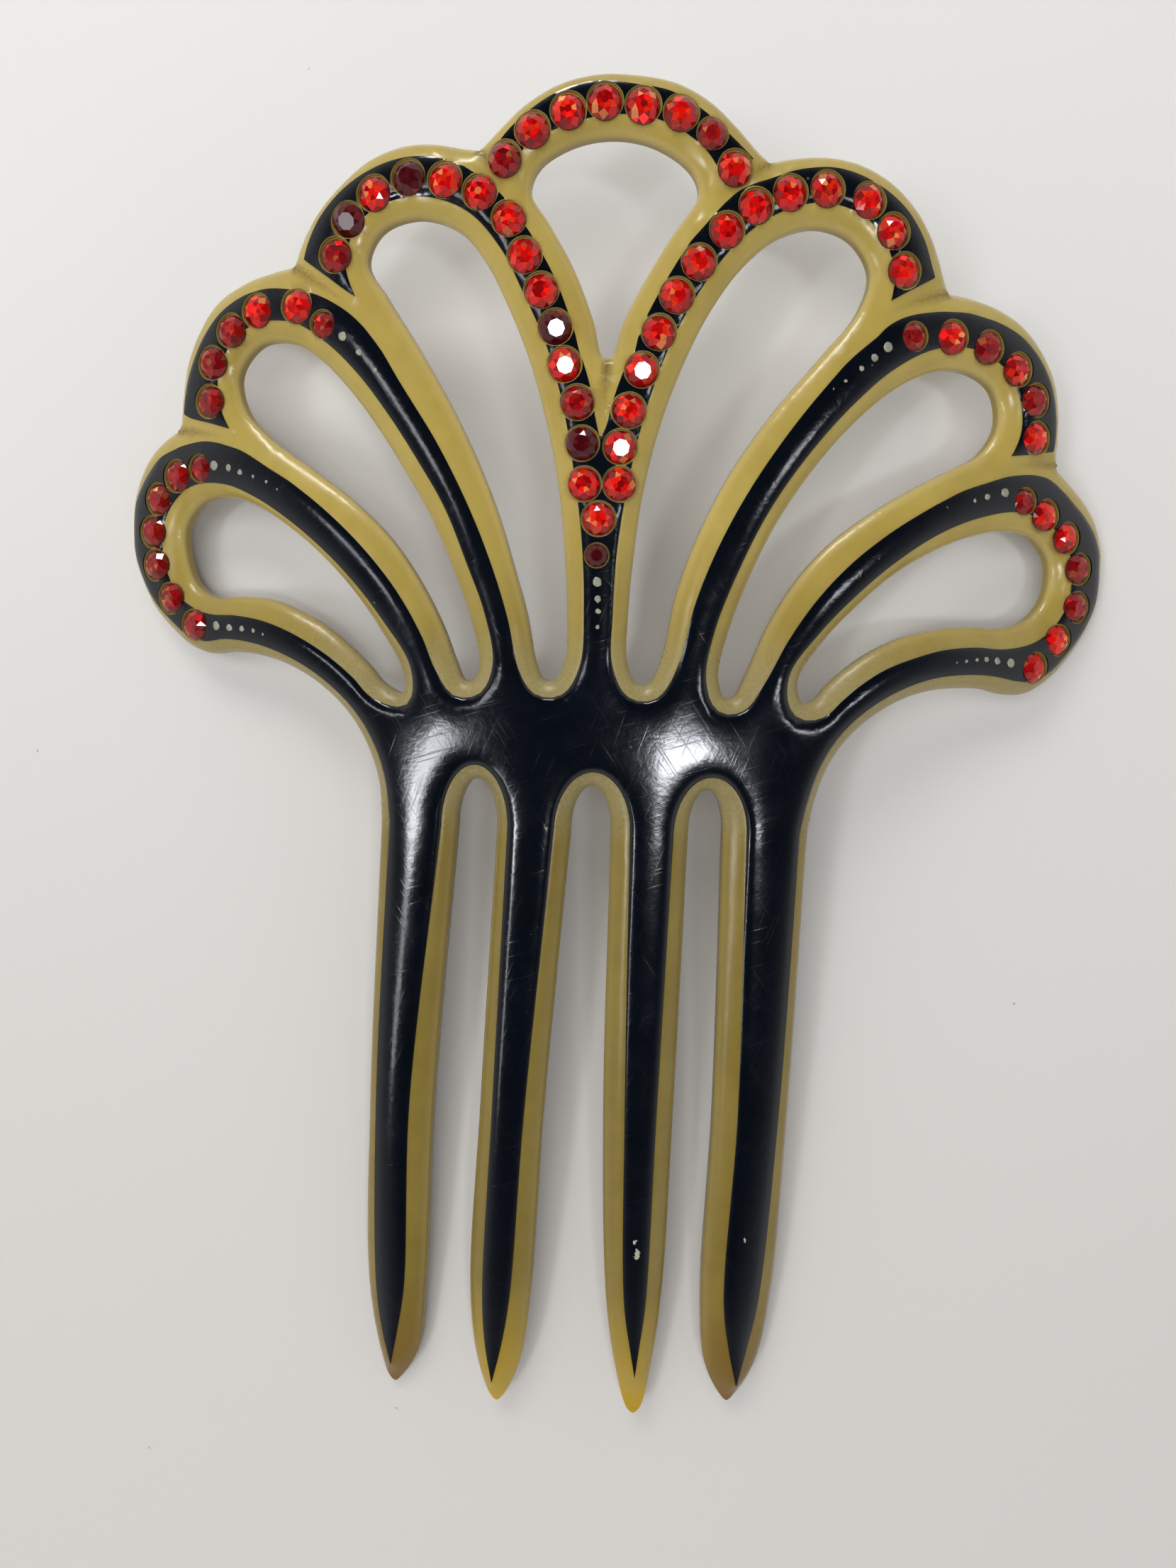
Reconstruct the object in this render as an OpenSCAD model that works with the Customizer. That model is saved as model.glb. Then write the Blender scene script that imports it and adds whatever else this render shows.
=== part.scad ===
// Mantilla comb of laminated celluloid: a horn coloured sheet with a black face, cut to a fan of
// seven pierced petals over four long teeth, bent to the head and set with red paste stones.
// Outlines are drawn on the flat sheet, s across and t along it, and then bent round a cylinder.

/* [Bend] */
// Radius of the bend at the black face
bend_r = 140; // [120:1:200]
// Place across the sheet where the bent comb is highest
crest_s = 2.5; // [0:0.5:4]

/* [Sheet] */
// Thickness over the crest of the black face
sheet_t = 3.5; // [3.2:0.1:4]
// Thickness of the black layer
black_t = 0.8; // [0.6:0.1:1]
// Height of the upright wall at every edge
edge_h = 1.5; // [1:0.1:1.8]
// Width of the sloped horn border as a share of the widths in the tables
border_share = 1; // [0.85:0.05:1.1]
// Width of the rounded shoulder of the black face
shoulder = 1.45; // [1:0.05:1.8]
// Clearance between the pieces
clearance = 0.05; // [0.03:0.01:0.1]

/* [Teeth] */
// Where the teeth leave the waist
root_t = -12; // [-14:0.5:-11]
// Middle of the teeth
mid_t = -50; // [-54:1:-46]
// Where the teeth start to narrow
low_t = -76; // [-78:1:-72]
// Where the points begin
end_t = -86; // [-87:0.5:-84]

/* [Stones] */
// Depth of the girdle below the crest of the black face
girdle_drop = 0.2; // [0.1:0.05:0.3]
// Height of the table over the girdle
crown_h = 1; // [0.7:0.05:1.3]
// Width of the table as a share of the stone's
table_share = 0.5; // [0.4:0.05:0.65]
// Room between a stone and the pit drilled for it
pit_gap = 0.12; // [0.1:0.01:0.15]
// Thickness of the silver dots
dot_t = 0.15; // [0.1:0.05:0.3]

/* [Detail] */
// Steps on each stretch of the petals and holes
steps = 1; // [1:1:2]
// Steps on each stretch of the teeth
tooth_steps = 2; // [1:1:3]
// Length of the flats round the bend
flat_s = 8; // [4:0.5:10]

/* [Hidden] */

horn_t = sheet_t - black_t;
face_lo = horn_t + clearance;
inner_r = bend_r - sheet_t;
girdle_w = sheet_t - girdle_drop;
beyond = 1;
far = 90;
// Width just above a tooth's point
point_w = 1.8;
arch_steps = 8;
// Height of the black face's upright rim
rim_h = 0.2;
stone_sides = 8;
dot_sides = 8;

// Outer edge of the fan from the left tooth over the petals to the right tooth: place across and
// along, width of the horn border
lower_left_edge = [[-28.1, -12, 1.7], [-28.5, -7, 1.5], [-30, -2.7, 1.5], [-32.6, 1.4, 1.4],
    [-36.7, 5, 1.3], [-41.2, 7.4, 1.3], [-46, 8.7, 1.5], [-50.5, 9, 1.7], [-54.2, 8.7, 1.6],
    [-57.7, 9.6, 1.5], [-60.8, 11.6, 1.5], [-64.1, 14.4, 1.5], [-66.5, 17.9, 1.5],
    [-68, 21.7, 1.5], [-68.2, 25.5, 1.5], [-67.9, 29, 1.7], [-66.8, 32.1, 2.2],
    [-64.9, 34.7, 2.4], [-62.2, 36.8, 2.2]];
middle_left_edge = [[-59.1, 38.3, 1.8], [-58.5, 42, 1.5], [-57.8, 46.2, 2], [-55.8, 50.3, 2.2],
    [-52.6, 53.9, 2.3], [-48.2, 56, 2.1], [-44, 57, 2.2]];
upper_left_edge = [[-40.7, 57.5, 2], [-39.4, 60.6, 1.7], [-37.2, 63.8, 1.4], [-34, 66.9, 1.4],
    [-30.2, 69.5, 1.8], [-26, 70.8, 1.9], [-22, 70.9, 1.9], [-18.5, 70.3, 2]];
top_edge = [[-16.1, 70, 2], [-13.7, 72.3, 1.4], [-10.7, 75, 1.4], [-6.6, 77.3, 1.3],
    [-2, 78.6, 1.3], [3, 78.7, 1.6], [7.6, 77.8, 1.7], [11.8, 75.9, 1.9], [15.3, 73.1, 1.8],
    [17.7, 70.8, 1.6]];
upper_right_edge = [[19.4, 69.5, 1.9], [23, 70.3, 1.7], [27, 70.7, 1.6], [31, 70.3, 1.8],
    [35, 68.8, 1.9], [38.4, 66.4, 1.9], [41.1, 63.1, 2], [42.9, 59.5, 2.2]];
middle_right_edge = [[44.1, 56.5, 2.2], [48, 56.2, 2.3], [52.1, 55.4, 2.2], [56, 53.8, 2.1],
    [59.5, 51, 2], [62.1, 47.4, 2], [63.2, 43.2, 1.8], [63.4, 39.6, 1.8]];
lower_right_edge = [[63.3, 36.6, 2.2], [66.4, 34.6, 2.5], [69.7, 32.2, 2.5], [72.3, 29.2, 2.3],
    [73.6, 25.6, 2], [73.6, 22, 1.7], [73, 18.4, 1.5], [71.2, 14.8, 1.5], [68.3, 11.3, 1.5],
    [65, 8.4, 1.5], [61.5, 6.6, 1.6], [58, 6.3, 1.9], [54, 7, 1.8], [50, 7.1, 1.8],
    [45.4, 6.7, 1.7], [40.8, 5.3, 1.6], [36.6, 2.9, 1.6], [33.3, -0.1, 1.6], [30.9, -3.8, 1.5],
    [29.5, -8, 1.5], [28.8, -12, 1.6]];

// Pierced holes in the same columns, each from its narrow end up one side and down the other
top_hole = [[0.8, 46.3, 2.4], [-0.3, 46.3, 2.4], [-1.6, 50.5, 2.6], [-4.2, 56.5, 2.6],
    [-7.2, 61.4, 2.6], [-9.7, 65.3, 2.6], [-8.7, 68.1, 2.3], [-4.6, 70.6, 1.8], [0.3, 71.5, 2],
    [5.4, 70.7, 2.3], [9.8, 68, 2.4], [10.8, 65.4, 2.6], [7.7, 60.5, 2.3], [4.7, 55.5, 2.3],
    [2, 50, 2.3]];
upper_left_hole = [[-5.2, 6.9, 2], [-6.6, 6.9, 2], [-7.7, 9, 2.2], [-8.9, 14.6, 2.3],
    [-10.7, 20.5, 2.4], [-13.5, 28.5, 2.9], [-17.6, 37.2, 3.4], [-23, 46.2, 3.9], [-28, 53.4, 3.3],
    [-30.6, 57.5, 2.2], [-28.9, 61, 2], [-24, 62.5, 2], [-18.6, 60.9, 2.2], [-15, 57, 2.4],
    [-12.3, 52.2, 2.4], [-9.5, 46, 2.6], [-7.3, 39.2, 2.5], [-5.5, 31.5, 2.2], [-4.5, 24, 2.3],
    [-3.9, 16, 2.2], [-4, 9.5, 2.1]];
middle_left_hole = [[-15.7, 6.6, 1.9], [-17, 6.5, 2.1], [-18.2, 8.8, 2.5], [-20, 13.1, 2.6],
    [-23.1, 18.6, 2.8], [-27.3, 24.1, 3.1], [-32.7, 28.8, 2.9], [-38.7, 32.8, 2.6], [-44.8, 36.7, 2.8],
    [-48.6, 40.5, 2.4], [-49.4, 44.8, 2], [-46, 48.3, 2], [-41, 48.3, 2.3], [-36.8, 46, 2.3],
    [-32.8, 42.3, 2.4], [-28.9, 37.6, 2.4], [-25.1, 32.2, 2.4], [-21.6, 26.6, 2.4],
    [-18.6, 20.2, 2.2], [-16.3, 14.4, 2.2], [-15.1, 9, 2.1]];
lower_left_hole = [[-25.2, 4.6, 1.6], [-27.9, 5.6, 2], [-30.1, 7.8, 2.1], [-33, 10.3, 2.3],
    [-36.4, 12.7, 2.6], [-40.3, 14.6, 2.7], [-44.5, 16, 2.8], [-49, 16.3, 2.5],
    [-53.6, 16.1, 2.1], [-57, 17.9, 2.3], [-58.7, 21.7, 2.6], [-58.7, 25.4, 2.4],
    [-55.8, 28.6, 2], [-51, 29.3, 1.5], [-46.2, 27.9, 1.2], [-41.2, 25.1, 1.1],
    [-36.4, 21.5, 1.1], [-32.1, 17.3, 1.2], [-28.5, 12.7, 1.4], [-25.4, 7.6, 1.7]];
upper_right_hole = [[6.8, 6.7, 1.9], [5.3, 6.7, 1.9], [4, 9.5, 2], [3.9, 15, 2], [4.4, 23, 2.2],
    [5.4, 31, 2.1], [7.4, 39.3, 2.3], [10.1, 46.6, 2.5], [13.1, 52.5, 2.4], [16.9, 57.7, 2.4],
    [21.2, 61.2, 2.3], [26, 62.6, 2.4], [30.6, 61.4, 2.5], [33.2, 57.8, 2.4], [32, 53.3, 2.9],
    [27.2, 47.4, 2.6], [21.4, 40.5, 2.8], [16.1, 32.7, 2.9], [12.4, 25.1, 2.7],
    [9.8, 17.3, 2.4], [8.5, 10.3, 2.1]];
middle_right_hole = [[18, 5.4, 1.9], [16.7, 5.3, 1.9], [15.8, 8, 1.9], [16.8, 13.4, 2],
    [19.2, 20.3, 1.9], [22.8, 27.8, 1.9], [27.5, 34.7, 1.9], [32.7, 40.5, 2], [37.8, 44.6, 2.3],
    [43, 47, 2.5],
    [48.1, 47.3, 2.4], [52.2, 45.3, 2.2], [53.3, 41.1, 2.6], [50.8, 37.3, 2.9], [46, 34.8, 2.8],
    [40.7, 32.1, 2.9], [35.1, 28.8, 3.1], [29.8, 24.8, 3.3], [25.4, 19.9, 3.2], [22, 14.2, 2.8],
    [19.6, 8.5, 2.3]];
lower_right_hole = [[27, 5, 2.1], [26.4, 7.8, 1.8], [29.5, 12.7, 1.5], [34.1, 17.5, 1.5],
    [39.4, 21.8, 1.6], [45.4, 25.1, 2], [51.1, 27.1, 2.2], [56.5, 27.9, 2.3], [60.9, 27, 2.1],
    [63.8, 24, 2.4], [63.6, 19.5, 2.7], [60.6, 16.3, 2.7], [56, 15.1, 2.7], [51, 15.1, 2.6],
    [45.7, 14.6, 2.6], [40.8, 13.4, 2.7], [36.5, 11.5, 2.5], [33, 9.2, 2.4], [30.4, 6.9, 2.3],
    [28.6, 5, 2.1]];
holes = [top_hole, upper_left_hole, middle_left_hole, lower_left_hole, upper_right_hole,
    middle_right_hole, lower_right_hole];

// Teeth from left to right: left and right edge at the root, middle, narrowing and end, then the
// point's place across and along
teeth = [
    [-28.1, -17.6, -29.5, -20.4, -29.5, -21.2, -27.8, -22.2, -25.5, -91],
    [-12.3, -2.6, -13.9, -5.2, -14.8, -6.4, -13.6, -7.7, -10.8, -92],
    [2.6, 12.7, 2.8, 12.2, 4, 11.6, 5.6, 10.5, 8.3, -93],
    [17.3, 28.8, 17.7, 28.1, 17.2, 27, 18.2, 25.2, 21.5, -91.5]];
// Black strips on the teeth, in the same columns
strips = [
    [-26.4, -19.4, -28, -23.3, -27.8, -23.8, -26.8, -24.8, -25.6, -87.6],
    [-10.7, -4.7, -12, -7.7, -12.8, -9.1, -12.3, -10.1, -11.3, -88.5],
    [5, 10.6, 5.6, 9.8, 6.4, 9.3, 7.5, 8.6, 8.2, -86.8],
    [20.1, 27.2, 20.7, 26.3, 20, 24.8, 21, 23.5, 22.3, -88.5]];
strip_end_t = end_t + 3;
// Tops of the three gaps in the horn and in the black
horn_arches = [-6, -6.4, -6.6];
black_arches = [-4.1, -4.5, -4.8];

// Grooves that part the black between neighbouring petals and under the top hole: start across
// and along, end across and along, half width at the start and at the end
grooves = [
    [-16.3, 70.1, -9.7, 64.2, 0.5, 0.9],
    [-41.4, 57.3, -30.6, 52, 1.8, 1.8],
    [-59.8, 38, -48, 37, 1.5, 1.5],
    [19.7, 69.5, 11.9, 64, 0.5, 0.9],
    [44.6, 56.6, 33.2, 53.4, 1.7, 2.6],
    [63.9, 36.1, 52, 36.5, 1.4, 1.4],
    [0.2, 46, -0.1, 37.5, 2.2, 0.2]];
groove_depth = 0.9;

// Stones of each row: place across and along, diameter
top_row = [[-12.7, 68.3, 4.1], [-9.4, 71.5, 4.1], [-5.2, 73.6, 4.1], [-0.9, 74.7, 4.1],
    [3.6, 74.4, 4.1], [8.1, 73.7, 4.1], [11.9, 71.6, 3.6], [14.8, 67.9, 4.1]];
upper_left_row = [[-34, 58, 4.1], [-32.3, 62, 4.1], [-28.9, 64.9, 4.1], [-24.5, 66.5, 4.1],
    [-19.9, 66.1, 4.1], [-15.6, 64.6, 4.1], [-12, 61.6, 4.1], [-10, 57.4, 4.1],
    [-7.9, 53.4, 4.1], [-6.1, 49.2, 4.1], [-4.9, 44.9, 4.1], [-3.2, 40.5, 4.1],
    [-2.5, 35.7, 4.1], [-2.1, 30.9, 4.1]];
upper_right_row = [[36.8, 58, 4.1], [35, 62.4, 4.1], [31.6, 65.6, 4.1], [26.2, 66.4, 4.1],
    [21.6, 65.6, 4.1], [17.5, 63.8, 4.1], [14.1, 60.9, 4.1], [10.9, 57.1, 4.1],
    [8.4, 53.2, 4.1], [6.4, 48.9, 4.1], [4.5, 44.5, 4.1], [3.1, 39.7, 4.1], [2.2, 35.4, 4.1],
    [2.3, 31, 4.1]];
middle_left_row = [[-52.6, 41.2, 4.1], [-52.1, 46, 4.1], [-49.1, 49.8, 4.1], [-45.1, 52, 4.1],
    [-39.3, 52.2, 4.1], [-35.7, 49.9, 3.3]];
middle_right_row = [[38.7, 50.4, 3.4], [44.1, 50.8, 4.1], [49.5, 50.1, 4.1], [54.2, 47.9, 4.1],
    [57.4, 44.4, 4.1], [58, 39.7, 4.1]];
lower_left_row = [[-54.3, 32.8, 3.4], [-58.2, 31.9, 4.1], [-61.6, 29, 4.1], [-62.8, 24.7, 4.1],
    [-62.3, 20.3, 4.1], [-59.7, 15.9, 4.1], [-55.6, 12.4, 4.1]];
lower_right_row = [[56.9, 31.6, 3.4], [60.6, 30, 4.1], [64.6, 27.3, 4.1], [67.3, 23.4, 4.1],
    [67.5, 18.3, 4.1], [64.5, 13.8, 4.1], [60.7, 10, 4.1]];
stem_row = [[-0.2, 26.8, 4.1], [-0.3, 22.4, 2.9]];
stone_rows = [top_row, upper_left_row, upper_right_row, middle_left_row, middle_right_row,
    lower_left_row, lower_right_row, stem_row];

// Silver dots that run out from the rows of stones: place across and along, diameter
dots = [
    [-52, 33.1, 1.2], [-49.7, 32.8, 0.9], [-47.9, 32.2, 0.7], [-45.9, 31.6, 0.5],
    [-43.9, 30.9, 0.4], [-42.3, 30, 0.3],
    [-52, 12.4, 1.2], [-49.9, 12.2, 0.9], [-47.9, 12.1, 0.7], [-46.1, 11.9, 0.5],
    [-44.6, 11.5, 0.3],
    [-33, 48.4, 1.1], [-30.8, 46.5, 0.8], [-28.6, 44.3, 0.5],
    [-0.1, 19.2, 1.2], [0, 17.1, 0.9], [0.1, 15.6, 0.7], [0.1, 13.7, 0.5],
    [35.2, 48.9, 1.2], [33.5, 47.5, 0.9], [31.9, 46.1, 0.7], [29.9, 44.5, 0.5], [28.4, 43.4, 0.3],
    [53.6, 32.5, 1.2], [50.9, 31.8, 0.8], [49, 31.2, 0.5],
    [56.6, 10.6, 1.2], [54.4, 10.8, 0.9], [52.6, 11, 0.7], [51.1, 10.9, 0.5], [49.5, 10.7, 0.4],
    [48, 10.5, 0.3]];

// Centre of the rays that clear the sheet outside the fan, and laps that keep the cuts clean
fan_centre = [0, 8];
lap = 0.5;
below = 15;
over = 0.28;

// Curves through the listed points
function curve_at(a, b, c, d, u) = 0.5 * (2 * b + (c - a) * u + (2 * a - 5 * b + 4 * c - d) * u * u
    + (3 * b - a - 3 * c + d) * u * u * u);
function curve(p, n) = [for (i = [0 : len(p) - 2]) for (k = [0 : n - 1])
    curve_at(p[max(i - 1, 0)], p[i], p[i + 1], p[min(i + 2, len(p) - 1)], k / n),
    p[len(p) - 1]];
function ring(p) = let (n = len(p)) [for (i = [0 : n - 1]) for (k = [0 : steps - 1])
    curve_at(p[(i + n - 1) % n], p[i], p[(i + 1) % n], p[(i + 2) % n], k / steps)];
function places(p) = [for (q = p) [q[0], q[1]]];
function borders(p) = [for (q = p) q[2] * border_share];

// A closed line moved sideways by the distances d, to the left of its own direction
function left_of(a, b) = let (u = (b - a) / norm(b - a)) [-u[1], u[0]];
function corner(a, b, c, d) = let (m = left_of(a, b), n = left_of(b, c))
    b + (m + n) * d / (1 + m * n);
function around(p, d) = let (n = len(p)) [for (i = [0 : n - 1])
    corner(p[(i + n - 1) % n], p[i], p[(i + 1) % n], d[i])];
function all_of(p, d) = [for (q = p) d];
function backwards(p) = [for (i = [len(p) - 1 : -1 : 0]) p[i]];
function part_of(p, from, count) = [for (i = [from : from + count - 1]) p[i % len(p)]];
// Line at a share of the way from one line to another with the same number of points
function between(a, b, share) = [for (i = [0 : len(a) - 1]) a[i] + (b[i] - a[i]) * share];

// Edge of one tooth from its root to its point: side 0 is left, side 1 is right
function tooth_edge(row, side, last_t) = curve([[row[side], root_t], [row[2 + side], mid_t],
    [row[4 + side], low_t], [row[6 + side], last_t],
    [row[8] + (side - 0.5) * point_w, row[9] + point_w / 2], [row[8], row[9]]], tooth_steps);
function arch(a, b, top) = [for (i = [1 : arch_steps - 1]) let (u = i * 180 / arch_steps)
    [(a + b) / 2 - cos(u) * (b - a) / 2, root_t + sin(u) * (top - root_t)]];
// One petal's edge as far as the notch where the next begins
function petal(p, next) = let (q = curve(concat(p, [next]), steps)) [for (i = [0 : len(q) - 2]) q[i]];
petal_edges = concat(petal(lower_left_edge, middle_left_edge[0]),
    petal(middle_left_edge, upper_left_edge[0]), petal(upper_left_edge, top_edge[0]),
    petal(top_edge, upper_right_edge[0]), petal(upper_right_edge, middle_right_edge[0]),
    petal(middle_right_edge, lower_right_edge[0]), curve(lower_right_edge, steps));

// Outline of one layer from the right side over the fan to the left and back along the teeth
function outline(rows, fan, tops, last_t) = concat([for (i = [len(fan) - 2 : -1 : 1]) fan[i]],
    [for (i = [0 : 3]) let (up = backwards(tooth_edge(rows[i], 1, last_t)))
        for (p = concat(tooth_edge(rows[i], 0, last_t), [for (k = [1 : len(up) - 1]) up[k]],
            i < 3 ? arch(rows[i][1], rows[i + 1][0], tops[i]) : [])) p]);
// Where the first tooth's point stands in an outline, and how far it is from point to point
first_point = len(petal_edges) - 2 + 5 * tooth_steps;
pitch = 10 * tooth_steps + arch_steps;

// Lines of the horn, of the black and of the black's crest: the outline and then the seven holes,
// each with the comb on its left
horn_lines = concat([outline(teeth, places(petal_edges), horn_arches, end_t)],
    [for (p = holes) places(ring(p))]);
black_lines = concat([outline(strips, around(places(petal_edges), -borders(petal_edges)),
    black_arches, strip_end_t)], [for (p = holes) let (q = ring(p)) around(places(q), borders(q))]);
crest_lines = [for (p = black_lines) around(p, all_of(p, shoulder))];

// Where a point of the flat sheet lies at height w over the bent sheet's inner face
function bend_angle(s) = (s - crest_s) / bend_r * 180 / PI;
function bent(p, w) = let (a = bend_angle(p[0]), r = inner_r + w) [r * sin(a), p[1], r * cos(a)];

// The comb lies with its hollow side down, on the lower petals' outer edges and the outer teeth
function tilted(v, b) = [v[0], v[1] * cos(b) - v[2] * sin(b), v[1] * sin(b) + v[2] * cos(b)];
function lowest(points, b) = min([for (p = points) tilted(bent(p, 0), b)[2]]);
tooth_points = [for (row = teeth) [row[8], row[9]]];
function rest_tilt(lo, hi, tries) = let (b = (lo + hi) / 2) tries == 0 ? b
    : lowest(petal_edges, b) < lowest(tooth_points, b) ? rest_tilt(b, hi, tries - 1)
    : rest_tilt(lo, b, tries - 1);
tilt = rest_tilt(0, 15, 20);
edge_places = [for (p = concat(petal_edges, tooth_points)) for (w = [0, edge_h])
    tilted(bent(p, w), tilt)];
function least(k) = min([for (v = edge_places) v[k]]);
function most(k) = max([for (v = edge_places) v[k]]);
origin = [(least(0) + most(0)) / 2, (least(1) + most(1)) / 2, least(2)];

// From the bend's own axis to the comb lying on the floor
module at_rest() {
    translate(-origin) rotate([tilt, 0, 0]) children();
}
// Square to the sheet at a point of it, with z as the height over its inner face
module on_sheet(p) {
    rotate([0, bend_angle(p[0]), 0]) translate([0, p[1], inner_r]) children();
}

// Solid over a few points
module wedge(points) {
    hull() polyhedron(points, [[for (i = [0 : len(points) - 1]) i]]);
}
module block(p, lo, hi) {
    wedge([for (w = [lo, hi]) for (q = p) bent(q, w)]);
}
// Cut between two lines with the same number of points
module ladder(a, b, lo, hi) {
    for (i = [0 : len(a) - 2]) block([a[i], a[i + 1], b[i + 1], b[i]], lo, hi);
}
// Cut straight through the bent sheet, square to it at the middle of the hole and true at height w
module punch(p, w) {
    mid = (min([for (q = p) q[0]]) + max([for (q = p) q[0]])) / 2;
    turn = bend_angle(mid);
    rotate([0, turn, 0]) translate([0, 0, inner_r - 3 * beyond])
        linear_extrude(sheet_t + 6 * beyond)
        polygon([for (q = p) [(inner_r + w) * sin(bend_angle(q[0]) - turn), q[1]]]);
}
// Cut that leaves an upright wall along a closed line, up to low_w, and from there a slope up to an
// inner line on its left
module edge_cut(line, inner, low_w, top_w) {
    n = len(line);
    a = between(line, inner, -over);
    b = between(line, inner, 1 + over);
    hi = top_w + over * (top_w - low_w);
    function at(i, j) = (i % n) * 5 + j % 5;
    polyhedron([for (i = [0 : n - 1]) for (v = [bent(a[i], -beyond), bent(line[i], -beyond),
        bent(line[i], low_w), bent(b[i], hi), bent(a[i], hi + beyond)]) v],
        [for (i = [0 : n - 1]) for (j = [0 : 4])
            for (f = [[at(i, j), at(i + 1, j), at(i + 1, j + 1)],
                [at(i, j), at(i + 1, j + 1), at(i, j + 1)]]) f]);
}

// Curved plate of the whole sheet between two heights
module plate(lo, hi) {
    first = -71;
    last = 77;
    count = ceil((last - first) / flat_s);
    arc_a = [for (i = [0 : count]) bend_angle(first + (last - first) * i / count)];
    outline = concat([for (a = arc_a) [sin(a), cos(a)] * (inner_r + lo)],
        [for (a = backwards(arc_a)) [sin(a), cos(a)] * (inner_r + hi)]);
    translate([0, 82, 0]) rotate([90, 0, 0]) linear_extrude(178) polygon(outline);
}

// One layer cut from the plate along its lines, sloped from low_w there to the top at inner lines
module layer(lo, hi, low_w, lines, inner) {
    // Rough cuts stop short of the lines, which the edge cuts follow
    rough = [for (i = [0 : len(lines) - 1]) between(lines[i], inner[i], -over / 2)];
    fan = part_of(rough[0], first_point + 3 * pitch, len(rough[0]) - 3 * pitch + 1);
    n = len(fan);
    away = [for (p = fan)
        p + (p[1] > 12 ? (p - fan_centre) / norm(p - fan_centre) : [sign(p[0]) * 0.8, -0.6]) * far];
    difference() {
        plate(lo, hi);
        ladder(concat([fan[0] + [-lap, -below]], fan, [fan[n - 1] + [lap, -below]]),
            concat([away[0] - [0, below]], away, [away[n - 1] - [0, below]]), -beyond, hi + 14);
        for (i = [0 : 2]) let (g = part_of(rough[0], first_point + i * pitch, pitch + 1))
            ladder(concat([g[0] - [lap, below]], [for (k = [0 : pitch / 2]) g[k]]),
                concat([g[pitch] + [lap, -below]], [for (k = [0 : pitch / 2]) g[pitch - k]]),
                -beyond, hi + beyond);
        for (i = [1 : len(lines) - 1]) punch(rough[i], (lo + hi) / 2);
        for (i = [0 : len(lines) - 1]) edge_cut(lines[i], inner[i], low_w, hi);
        children();
    }
}

module horn_base() {
    // The grooves' cutters reach this far above the horn and widen with it
    up = 0.3;
    wide = 1 + up / groove_depth;
    color("#a8953f") at_rest() layer(0, horn_t, edge_h, horn_lines, black_lines)
        for (g = grooves) let (a = [g[0], g[1]], b = [g[2], g[3]], n = left_of(a, b) * wide)
            wedge([bent(a, horn_t - groove_depth), bent(b, horn_t - groove_depth),
                bent(a + n * g[4], horn_t + up), bent(b + n * g[5], horn_t + up),
                bent(a - n * g[4], horn_t + up), bent(b - n * g[5], horn_t + up)]);
}

module black_face() {
    color("#15171c") at_rest() layer(face_lo, sheet_t, horn_t + rim_h, black_lines, crest_lines) {
        for (g = grooves) let (a = [g[0], g[1]], b = [g[2], g[3]], n = left_of(a, b))
            block([a + n * g[4], b + n * g[5], b - n * g[5], a - n * g[4]], 0, sheet_t + beyond);
        for (row = stone_rows) for (p = row)
            on_sheet(p) cylinder(sheet_t + beyond, d = p[2] + 2 * pit_gap, $fn = stone_sides);
    }
}

// Round stone with a flat table, eight crown facets and a shallow pointed back
module stone(p) {
    function eight(r, w) = [for (k = [0 : stone_sides - 1]) let (a = k * 360 / stone_sides)
        [r * cos(a), r * sin(a), w]];
    on_sheet(p) wedge(concat([[0, 0, face_lo]], eight(p[2] / 2, girdle_w),
        eight(p[2] / 2 * table_share, girdle_w + crown_h)));
}
module stones(row) {
    color("#c8201c") at_rest() for (p = row) stone(p);
}
module stones_top() { stones(top_row); }
module stones_upper_left() { stones(upper_left_row); }
module stones_upper_right() { stones(upper_right_row); }
module stones_middle_left() { stones(middle_left_row); }
module stones_middle_right() { stones(middle_right_row); }
module stones_lower_left() { stones(lower_left_row); }
module stones_lower_right() { stones(lower_right_row); }
module stones_stem() { stones(stem_row); }

module silver_dots() {
    color("#b8b8a0") at_rest() for (p = dots)
        on_sheet(p) translate([0, 0, sheet_t + clearance])
        cylinder(dot_t, d = p[2], $fn = dot_sides);
}

horn_base();
black_face();
stones_top();
stones_upper_left();
stones_upper_right();
stones_middle_left();
stones_middle_right();
stones_lower_left();
stones_lower_right();
stones_stem();
silver_dots();
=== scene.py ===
import math

import bpy
import numpy as np
from mathutils import Matrix, Vector
from mathutils.geometry import delaunay_2d_cdt
from mathutils.kdtree import KDTree


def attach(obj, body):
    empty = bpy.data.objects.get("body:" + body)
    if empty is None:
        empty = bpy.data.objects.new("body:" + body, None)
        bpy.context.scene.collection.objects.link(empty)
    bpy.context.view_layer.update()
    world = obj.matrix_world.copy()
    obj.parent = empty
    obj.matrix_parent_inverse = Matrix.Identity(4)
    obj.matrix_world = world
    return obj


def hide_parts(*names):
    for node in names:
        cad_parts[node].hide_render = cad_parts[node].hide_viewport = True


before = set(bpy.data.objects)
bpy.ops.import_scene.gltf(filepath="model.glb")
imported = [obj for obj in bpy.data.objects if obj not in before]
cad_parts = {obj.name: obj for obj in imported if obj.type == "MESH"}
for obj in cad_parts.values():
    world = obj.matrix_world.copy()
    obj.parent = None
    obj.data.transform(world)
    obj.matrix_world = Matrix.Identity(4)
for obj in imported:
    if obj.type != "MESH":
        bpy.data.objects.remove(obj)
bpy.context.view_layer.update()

# ---- Paper under the comb, camera and light
# White drawing paper on a table, smooth with a faint felt marked grain. Soft lamps hang over it on
# the left and the right, and a pale ceiling and a window with a blind fill the shadows.
mm = 0.001


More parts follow.
